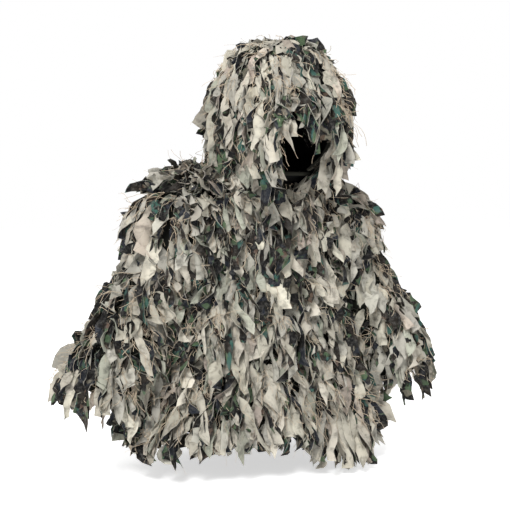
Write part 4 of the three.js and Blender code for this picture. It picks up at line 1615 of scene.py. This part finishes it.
@dataclass
class Hood(Assembly):
    """The hood: cloth panels, hems, netting, and rows of strips that also hang over the brow."""

    body: str = "hood"
    knot_spacing: float = 0.0240
    row_spacing: float = 0.0225
    columns: int = 112
    net_columns: int = 52
    crown_knots: int = 34
    brow_knots: int = 74
    face_reach: float = 0.006
    neck_hem: tuple = (0.0044, 0.0086)  # thick and tall
    face_hem: tuple = (0.0058, 0.0106)
    eyelet: tuple = (0.0017, 0.0155)
    eyelet_radius: float = 0.0031
    row_cuts: tuple[Cut, ...] = (
        Cut((0.050, 0.090), (0.018, 0.036), (0.0, 0.003), (-22, -6), 30, 0.5, 25, 9, (0.03, 0.12), 0.06),
        Cut((0.055, 0.105), (0.018, 0.038), (0.0, 0.008), (-10, 8), 24, 0.4, 55, 20),
        Cut((0.055, 0.115), (0.018, 0.040), (0.0, 0.009), (-8, 10), 21, 0.35, 70, 26),
        Cut((0.060, 0.120), (0.018, 0.040), (0.001, 0.014), (-5, 18)),
    )
    brow_cut: Cut = Cut((0.050, 0.150), (0.017, 0.038), (0.001, 0.013), (-5, 16), 14)

    @property
    def rim(self) -> float:
        """The height of the hood's lower edge."""
        return lowest("hood_neck_hem")

    @property
    def top(self) -> float:
        """The height of its crown."""
        return highest("hood_crown_panel")

    def build(self) -> None:
        """Builds every piece of the hood."""
        self.build_netting()
        self.build_hems()
        self.build_panels()
        self.build_cowl()
        self.build_strips()
        self.build_brow()

    def build_panels(self) -> None:
        """Crown and two sides, cut from one surface that a lid closes at the top."""
        loft, size = self.forms.hood, self.sizes
        z, columns = loft.rows(self.rim + 0.0096, self.top - 0.0004, 0.007), self.columns
        turn = np.arange(columns) * TAU / columns - math.pi / 2
        points = loft.round_point(turn, z[:, None], -size.cloth / 2)
        normal = grid_normals(points, True)
        points = points + normal * ripples(points, 0.0013, 110, 7)[..., None]
        top = np.arange(columns) + (len(z) - 1) * columns
        quads = np.concatenate([grid_quads(len(z), columns, True), lid_quads(top)])
        normal[-1] = unit(normal[-1] + 2 * UP)
        side = size.crown_half + 0.0008
        cuts = {
            "hood_crown_panel": (lambda p: size.crown_half - np.abs(p[:, 0]), (0.09, 0.60)),
            "hood_left_panel": (lambda p: p[:, 0] - side, (0.34, 0.30)),
            "hood_right_panel": (lambda p: -p[:, 0] - side, (0.34, 0.30)),
        }
        for name, (inside, flat) in cuts.items():
            def kept(p: np.ndarray, inside: Callable = inside) -> np.ndarray:
                """Inside this panel and clear of the face."""
                return np.minimum(inside(p), self.forms.outside_face(p) - self.face_reach)

            data = trimmed_sheet(points, quads, normal, size.sheet, kept, self.face_reach)
            self.add(name, data, self.finishes.lining, "shell_cloth", name)
            extras = ["hood_netting", "face_hem", "hood_neck_hem"] if name == "hood_crown_panel" else []
            self.declare(name, flat, data, "hood_neck_hem", *extras)

    def build_netting(self) -> None:
        """Diamond netting over the hood."""
        loft = self.forms.hood
        rows = loft.rows(self.rim + 0.010, self.top - 0.001, 0.016)
        data = self.net(loft.round_point, rows, self.net_columns,
                        lambda p: self.forms.outside_face(p) > 0.012)
        self.add("hood_netting", data, self.finishes.net, "net_cord", "hood_netting")

    def face_path(self, count: int, grow: float = 0.0) -> tuple[np.ndarray, np.ndarray]:
        """A path round the face opening, open at the chin, and its outward directions."""
        wide, tall = self.sizes.face_half
        bottom = math.asin((self.sizes.face_middle - self.rim - 0.012) / tall)
        turn = np.linspace(-bottom, math.pi + bottom, count)
        x = (wide + grow) * np.cos(turn)
        z = self.sizes.face_middle + (tall + grow) * np.sin(turn)
        path = self.forms.hood_front(x, z)
        return path, self.forms.hood.slope_normal(path)

    def build_hems(self) -> None:
        """The hem at the neck, the hem round the face with its stitches, and two eyelets."""
        loft, count, webbing = self.forms.hood, 140, self.finishes.webbing
        z = np.full(count, self.rim + 0.0045)
        turn = np.arange(count) * TAU / count
        path = loft.round_point(turn, z, -self.sizes.cloth / 2)
        out = unit(loft.slope_normal(path) * LEVEL)
        data = swept(path[None], out, UP, *self.neck_hem, ring=True)
        self.add("hood_neck_hem", data, webbing, "webbing", "hood_neck_hem")
        path, out = self.face_path(160)
        path = path - out * self.sizes.cloth / 2
        up = unit(np.cross(out, np.gradient(path, axis=0)))
        self.add("face_hem", swept(path[None], out, up, *self.face_hem), webbing, "webbing", "face_hem")
        data = stitch_rows(path + out * 0.003, out, up, 0.0035)
        self.add("face_stitches", data, self.finishes.thread, "webbing")
        for side in Side:
            node = f"face_eyelet_{side.word}"
            middle = (low(node) + high(node)) / 2
            turn = np.arange(28) * TAU / 28
            spoke = np.stack([np.cos(turn), 0 * turn, np.sin(turn)], -1)
            path = middle + self.eyelet_radius * spoke
            data = swept(path[None], spoke, BACKWARDS, *self.eyelet, ring=True)
            self.add(node, data, self.finishes.metal, "dull_metal", node)

    def build_cowl(self) -> None:
        """The cloth between neck band and hood, on no body: its transform is baked into its mesh."""
        count, rows = 120, 9
        turn = np.arange(count) * TAU / count
        share = np.linspace(0, 1, rows)[:, None]
        neck, rim = np.full(count, 0.006), np.full(count, self.rim + 0.006)
        lower = self.forms.torso.round_point(turn, neck, -0.0095)
        upper = self.forms.hood.round_point(turn, rim, -0.0056)
        points = lower * (1 - share)[..., None] + upper * share[..., None]
        points = points + ripples(points, 0.0008, 260, 5)[..., None] * unit(points * LEVEL)
        data = closed_sheets(points[None], self.sizes.sheet, True)
        piece = make_piece("neck_cowl", data, self.finishes.lining)
        self.made["neck_cowl"] = piece
        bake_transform(piece)
        self.declare("neck_cowl", (0.60, 0.06), data, "neck_band")

    def knots(self) -> tuple[np.ndarray, np.ndarray]:
        """Knots all over the hood but not in the face opening, and on the flat of the crown."""
        rng, loft = self.strips.rng, self.forms.hood
        found, top, count = [], self.top, self.crown_knots
        for z in loft.rows(self.rim + 0.006, top - 0.001, self.row_spacing):
            angle = loft.ring(z, self.knot_spacing, rng)
            heights = np.clip(z + rng.normal(0, 0.004, len(angle)), loft.z[0] + 0.004, loft.z[-1] - 0.0005)
            found.append(loft.point(angle, heights, KNOT_LIFT))
        p = np.concatenate(found)
        from_face = np.where(p[:, 0] < 0, 0.012, 0.004)
        p = p[(self.forms.outside_face(p) > from_face) & (p[:, 2] < top - 0.003)]
        turn = rng.permutation(count) * TAU / count
        reach = np.linspace(0.003, 0.040, count)[:, None]
        spoke = np.stack([np.cos(turn), np.sin(turn), 0 * turn], -1)
        crown = np.array([0.0, float(loft.sections(top)[2]), top + 0.002]) + reach * spoke
        normals = np.concatenate([loft.slope_normal(p), unit(UP + 0.35 * spoke)])
        return np.concatenate([p, crown]), normals

    def build_strips(self) -> None:
        """The hood's rows of strips. The lowest two ride on no body: their transforms are baked into their
        meshes.
        """
        p, normals = self.knots()
        edges = [1.0, *(lowest(f"hood_strips_row_{k}") for k in (1, 2, 3)), -1.0]
        for k, cut in enumerate(self.row_cuts):
            at = row_inside(p, edges[k + 1], edges[k])
            name, replaced = f"hood_strips_{k + 1}", (f"hood_strips_row_{k + 1}",)
            for piece in self.strips.pieces(name, p[at], normals[at], cut, np.ones(at.sum()), replaced):
                if k == 3:
                    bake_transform(piece)
                elif k == 2:
                    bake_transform(piece)
                else:
                    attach(piece, self.body)

    def build_brow(self) -> None:
        """Strips along the upper rim of the face opening, which hang over it."""
        path, out = self.face_path(400, 0.006)
        rng = self.strips.rng
        upper = np.flatnonzero(path[:, 2] > self.sizes.face_middle - 0.01)
        pick = np.sort(rng.choice(upper, self.brow_knots, replace=False))
        p, normals = path[pick] + out[pick] * KNOT_LIFT, out[pick]
        places = [-0.075, -0.060, -0.045, -0.020, -0.004, 0.008]
        room = np.interp(p[:, 0], places, [0.09, 0.05, 0.035, 0.055, 0.13, 0.15])
        for piece in self.strips.pieces("brow_strips", p, normals, self.brow_cut, room, ("brow_fringe",)):
            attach(piece, self.body)


@dataclass
class Sleeve(Assembly):
    """One sleeve with its rounded head, its cuff, netting and strips."""

    side: Side = Side.LEFT
    knot_spacing: float = 0.0240
    row_spacing: float = 0.0225
    net_columns: int = 28
    band: tuple = (0.0044, 0.0156)  # the cuff band's thickness and its height
    rows_from: float = 0.104  # where its rows of strips begin, along the sleeve
    row_count: int = 3
    longest_reach: float = 0.438  # how far along the sleeve the strips may end
    row_cut: Cut = Cut(length=(0.048, 0.110), lift=(0.002, 0.015), rise=(-5, 24))
    head_cut: Cut = Cut(length=(0.048, 0.100), lift=(0.001, 0.016), rise=(-6, 20))

    def __post_init__(self) -> None:
        """Names the sleeve's body and finds its cone."""
        self.body = f"{self.side.word}_sleeve"
        self.cone = self.forms.sleeves[self.side]

    def build(self) -> None:
        """Builds every piece of the sleeve."""
        self.build_netting()
        self.build_cuff()
        self.build_cloth()
        self.build_strips()
        self.build_shoulder()

    def grid(self, along: np.ndarray, count: int) -> tuple[np.ndarray, np.ndarray]:
        """Turns and distances of a grid whose normals face out."""
        turn = np.arange(count) * TAU / count * self.side.value
        return np.meshgrid(turn, along)

    def build_cloth(self) -> None:
        """The tube of the sleeve, and its rounded head with the opening towards the body."""
        word, cone, size = self.side.word, self.cone, self.sizes
        turn, along = self.grid(np.linspace(cone.end - 0.0006, cone.start + 0.0006, 44), 64)
        points = cone.point(turn, along, -size.cloth / 2)
        normal = grid_normals(points, True)
        points = points + normal * ripples(points, 0.0015, 120, 3)[..., None]
        data = closed_sheets(points[None], size.sheet, True)
        shell = f"{word}_sleeve_shell"
        self.add(shell, data, self.finishes.shell, "shell_cloth", shell)
        extras = (f"{word}_sleeve_netting", f"{word}_cuff_band")
        self.declare(shell, (0.44, 0.30), data, f"{word}_sleeve_head", *extras)

        tilt = math.radians(7)
        facing = np.array([self.side.value * math.cos(tilt), 0, -math.sin(tilt)])
        polar = np.linspace(0.66, math.radians(160), 54)
        turn, polar = self.grid(polar, 72)
        spoke = cone.spoke(turn)
        direction = spoke * np.sin(polar)[..., None] + cone.down * np.cos(polar)[..., None]
        points = cone.pivot + direction * (size.head_radius - size.cloth / 2)
        points = points + direction * ripples(points, 0.0012, 120, 4)[..., None]
        data = trimmed_sheet(points, grid_quads(*points.shape[:2], True), direction, size.sheet,
                             lambda p: (p - cone.pivot) @ facing + 0.036, 0.006)
        head = f"{word}_sleeve_head"
        self.add(head, data, self.finishes.shell, "shell_cloth", head)
        self.declare(head, (0.58, 0.20), data, "back_panel")

    def build_netting(self) -> None:
        """Diamond netting round the sleeve."""
        rows = np.arange(0.102, self.cone.end, 0.016)
        name = f"{self.side.word}_sleeve_netting"
        data = self.net(self.cone.point, rows, self.net_columns, lambda p: np.ones(len(p), bool))
        self.add(name, data, self.finishes.net, "net_cord", name)

    def build_cuff(self) -> None:
        """The cuff band and its stitches."""
        cone = self.cone
        turn = np.arange(96) * TAU / 96
        path = cone.point(turn, np.full(96, cone.end + 0.0084), -self.sizes.cloth / 2)
        out = cone.spoke(turn)
        name = f"{self.side.word}_cuff_band"
        data = swept(path[None], out, -cone.down, *self.band, ring=True)
        self.add(name, data, self.finishes.webbing, "webbing", name)
        data = stitch_rows(path + out * 0.0023, out, cone.down, 0.005)
        self.add(f"{self.side.word}_cuff_stitches", data, self.finishes.thread, "webbing")

    def build_strips(self) -> None:
        """Rows of strips down the sleeve and at the cuff."""
        word, cone, rng = self.side.word, self.cone, self.strips.rng
        found, spokes = [], []
        for along in np.arange(0.072, cone.end + 0.016, self.row_spacing):
            count = round(TAU * float(cone.radius(along)) / self.knot_spacing)
            turn = (np.arange(count) + rng.random()) / count * TAU
            found.append(cone.point(turn, along + rng.normal(0, 0.004, count), KNOT_LIFT))
            spokes.append(cone.spoke(turn))
        p, n = np.concatenate(found), np.concatenate(spokes)
        along = (p - cone.pivot) @ cone.down
        inner = (n @ cone.outward) < -0.5
        keep = (self.forms.torso.distance(p) > 0.02) & (self.forms.heads[self.side].distance(p) > -0.002)
        keep &= ~(inner & (along < 0.17))
        p, n, along = p[keep], n[keep], along[keep]
        ragged = 0.012 * np.sin(9 * np.arctan2(n[:, 1], n @ cone.outward))
        room = (self.longest_reach + ragged - along) / 0.93
        edges = np.linspace(self.rows_from, cone.end, self.row_count + 1)
        edges[0], edges[-1] = -1.0, 9.0
        for k in range(self.row_count):
            at = (along > edges[k]) & (along <= edges[k + 1])
            replaced = (f"{word}_sleeve_strips_row_{k + 1}",)
            if k == self.row_count - 1:
                replaced += (f"{word}_cuff_fringe",)
            name = f"{word}_sleeve_strips_{k + 1}"
            for piece in self.strips.pieces(name, p[at], n[at], self.row_cut, room[at], replaced):
                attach(piece, self.body)

    def build_shoulder(self) -> None:
        """Strips over the rounded head, on no body: their transforms are baked into their meshes."""
        rng, ball = self.strips.rng, self.forms.heads[self.side]
        found = []
        for tilt in np.radians(np.arange(-60, 89, 12.0)):
            count = max(3, round(TAU * ball.radius * math.cos(tilt) / self.knot_spacing))
            turn = (np.arange(count) + rng.random()) / count * TAU
            found.append(np.stack([np.cos(turn) * math.cos(tilt), np.sin(turn) * math.cos(tilt),
                                   np.full(count, math.sin(tilt))], -1))
        n = np.concatenate(found)
        p = ball.centre + n * (ball.radius + 0.002)
        keep = (self.forms.torso.distance(p) > -0.001) & (self.forms.sleeves[self.side].distance(p) > 0.0)
        keep &= n[:, 0] * self.side.value > -0.55
        word, x, cut, room = self.side.word, self.side.value, self.head_cut, np.ones(keep.sum())
        if self.side is Side.LEFT:  # these lie flatter than on the other shoulder
            cut = replace(cut, lift=(0.0, 0.005), rise=(-12, 3), twist=35, roll=12)
        replaced = (f"{word}_shoulder_strips",)
        made = self.strips.pieces(f"{word}_shoulder_tails", p[keep], n[keep], cut, room, replaced)
        for piece in made:
            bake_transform(piece)


def dress(node: str, material: bpy.types.Material) -> None:
    """Gives a CAD node a finish of its own."""
    mesh = frame["nodes"][node].data
    mesh.materials.clear()
    mesh.materials.append(material)


@dataclass
class Studio:
    """Camera, lights and a plain pale backdrop."""

    azimuth: float = -27.0
    elevation: float = 4.0
    distance: float = 2.3
    view_width: float = 1.1475  # how wide the camera sees, in metres, at the target
    target: tuple = (-0.0098, 0.005, -0.151)
    floor_gap: float = 0.05
    floor_reach: float = 12.0
    ambient: float = 0.46  # what the pale surroundings give off, against 1 as they are seen

    def build(self) -> None:
        """Builds the stage."""
        self.build_camera()
        self.build_backdrop()
        self.build_lights()
        self.build_world()

    def view_direction(self) -> np.ndarray:
        """From the target towards the camera."""
        a, e = math.radians(self.azimuth), math.radians(self.elevation)
        return np.array([math.sin(a) * math.cos(e), -math.cos(a) * math.cos(e), math.sin(e)])

    def build_camera(self) -> None:
        """A camera that sees the given width at the target's distance."""
        data = bpy.data.cameras.new("camera")
        data.lens = data.sensor_width * self.distance / self.view_width
        camera = bpy.data.objects.new("camera", data)
        bpy.context.scene.collection.objects.link(camera)
        place = np.array(self.target) + self.distance * self.view_direction()
        camera.location = place
        camera.rotation_euler = (math.radians(90 - self.elevation), 0, math.radians(self.azimuth))
        bpy.context.scene.camera = camera

    def build_backdrop(self) -> None:
        """A floor that is one large sheet, and glows: painted light that keeps it as white as the
        surroundings.
        """
        z = lowest("hem_fringe") - self.floor_gap
        steps = np.linspace(-self.floor_reach, self.floor_reach, 3)
        x, y = np.meshgrid(steps, steps)
        points = np.stack([x, y, np.full_like(x, z)], -1)[None]
        g = Graph("backdrop")
        pale = g.ramp(g.noise(g.objects(), 3.0), [(0.3, grey(0.90)), (0.7, grey(0.92))])
        g.shade("Base Color", pale)
        g.shade("Roughness", 0.9)
        # painted light: the floor glows by the light that the pale surroundings hold back, so that it looks
        # as white as they do
        g.shade("Emission Color", (1.0, 1.0, 1.0, 1))
        g.shade("Emission Strength", 1.0 - 0.9 * self.ambient)
        data = closed_sheets(points, 0.01)
        make_piece("backdrop", data, g.material)

    def build_lights(self) -> None:
        """A large soft key, a fill, and a rim from behind."""
        lamps = {
            "key": ((-2.4, -2.8, 2.7), 1.2, 222.0),
            "fill": ((2.2, -1.8, 0.9), 1.8, 12.0),
            "rim": ((0.8, 2.2, 1.8), 1.4, 24.0),
        }
        for name, (place, size, power) in lamps.items():
            data = bpy.data.lights.new(name, "AREA")
            data.energy, data.size = power, size
            lamp = bpy.data.objects.new(name, data)
            bpy.context.scene.collection.objects.link(lamp)
            lamp.location = place
            aim = np.array(self.target) - np.array(place)
            lamp.rotation_euler = (math.atan2(np.hypot(aim[0], aim[1]), -aim[2]), 0,
                                   math.atan2(aim[1], aim[0]) - math.pi / 2)

    def build_world(self) -> None:
        """Pale surroundings, seen as white but giving off less."""
        world = bpy.data.worlds.new("world")
        bpy.context.scene.world = world
        world.use_nodes = True
        nodes, links = world.node_tree.nodes, world.node_tree.links
        shade, path = nodes["Background"], nodes.new("ShaderNodeLightPath")
        shade.inputs["Color"].default_value = (1.0, 1.0, 1.0, 1)
        strength = nodes.new("ShaderNodeMapRange")
        strength.inputs["To Min"].default_value = self.ambient
        links.new(path.outputs["Is Camera Ray"], strength.inputs["Value"])
        links.new(strength.outputs["Result"], shade.inputs["Strength"])
        bpy.context.scene.view_settings.view_transform = "Standard"


def main() -> None:
    """Builds the jacket and the stage."""
    logging.basicConfig(level=logging.INFO, format="%(name)s %(message)s")
    Studio().build()
    forms, finishes = Forms(Sizes()), Finishes()
    strips = StripMaker(forms.all, finishes)
    Torso(forms, finishes, strips).build()
    Zip(forms, finishes, strips).build()
    Hood(forms, finishes, strips).build()
    for side in Side:
        Sleeve(forms, finishes, strips, side=side).build()


if __name__ == "__main__":
    main()
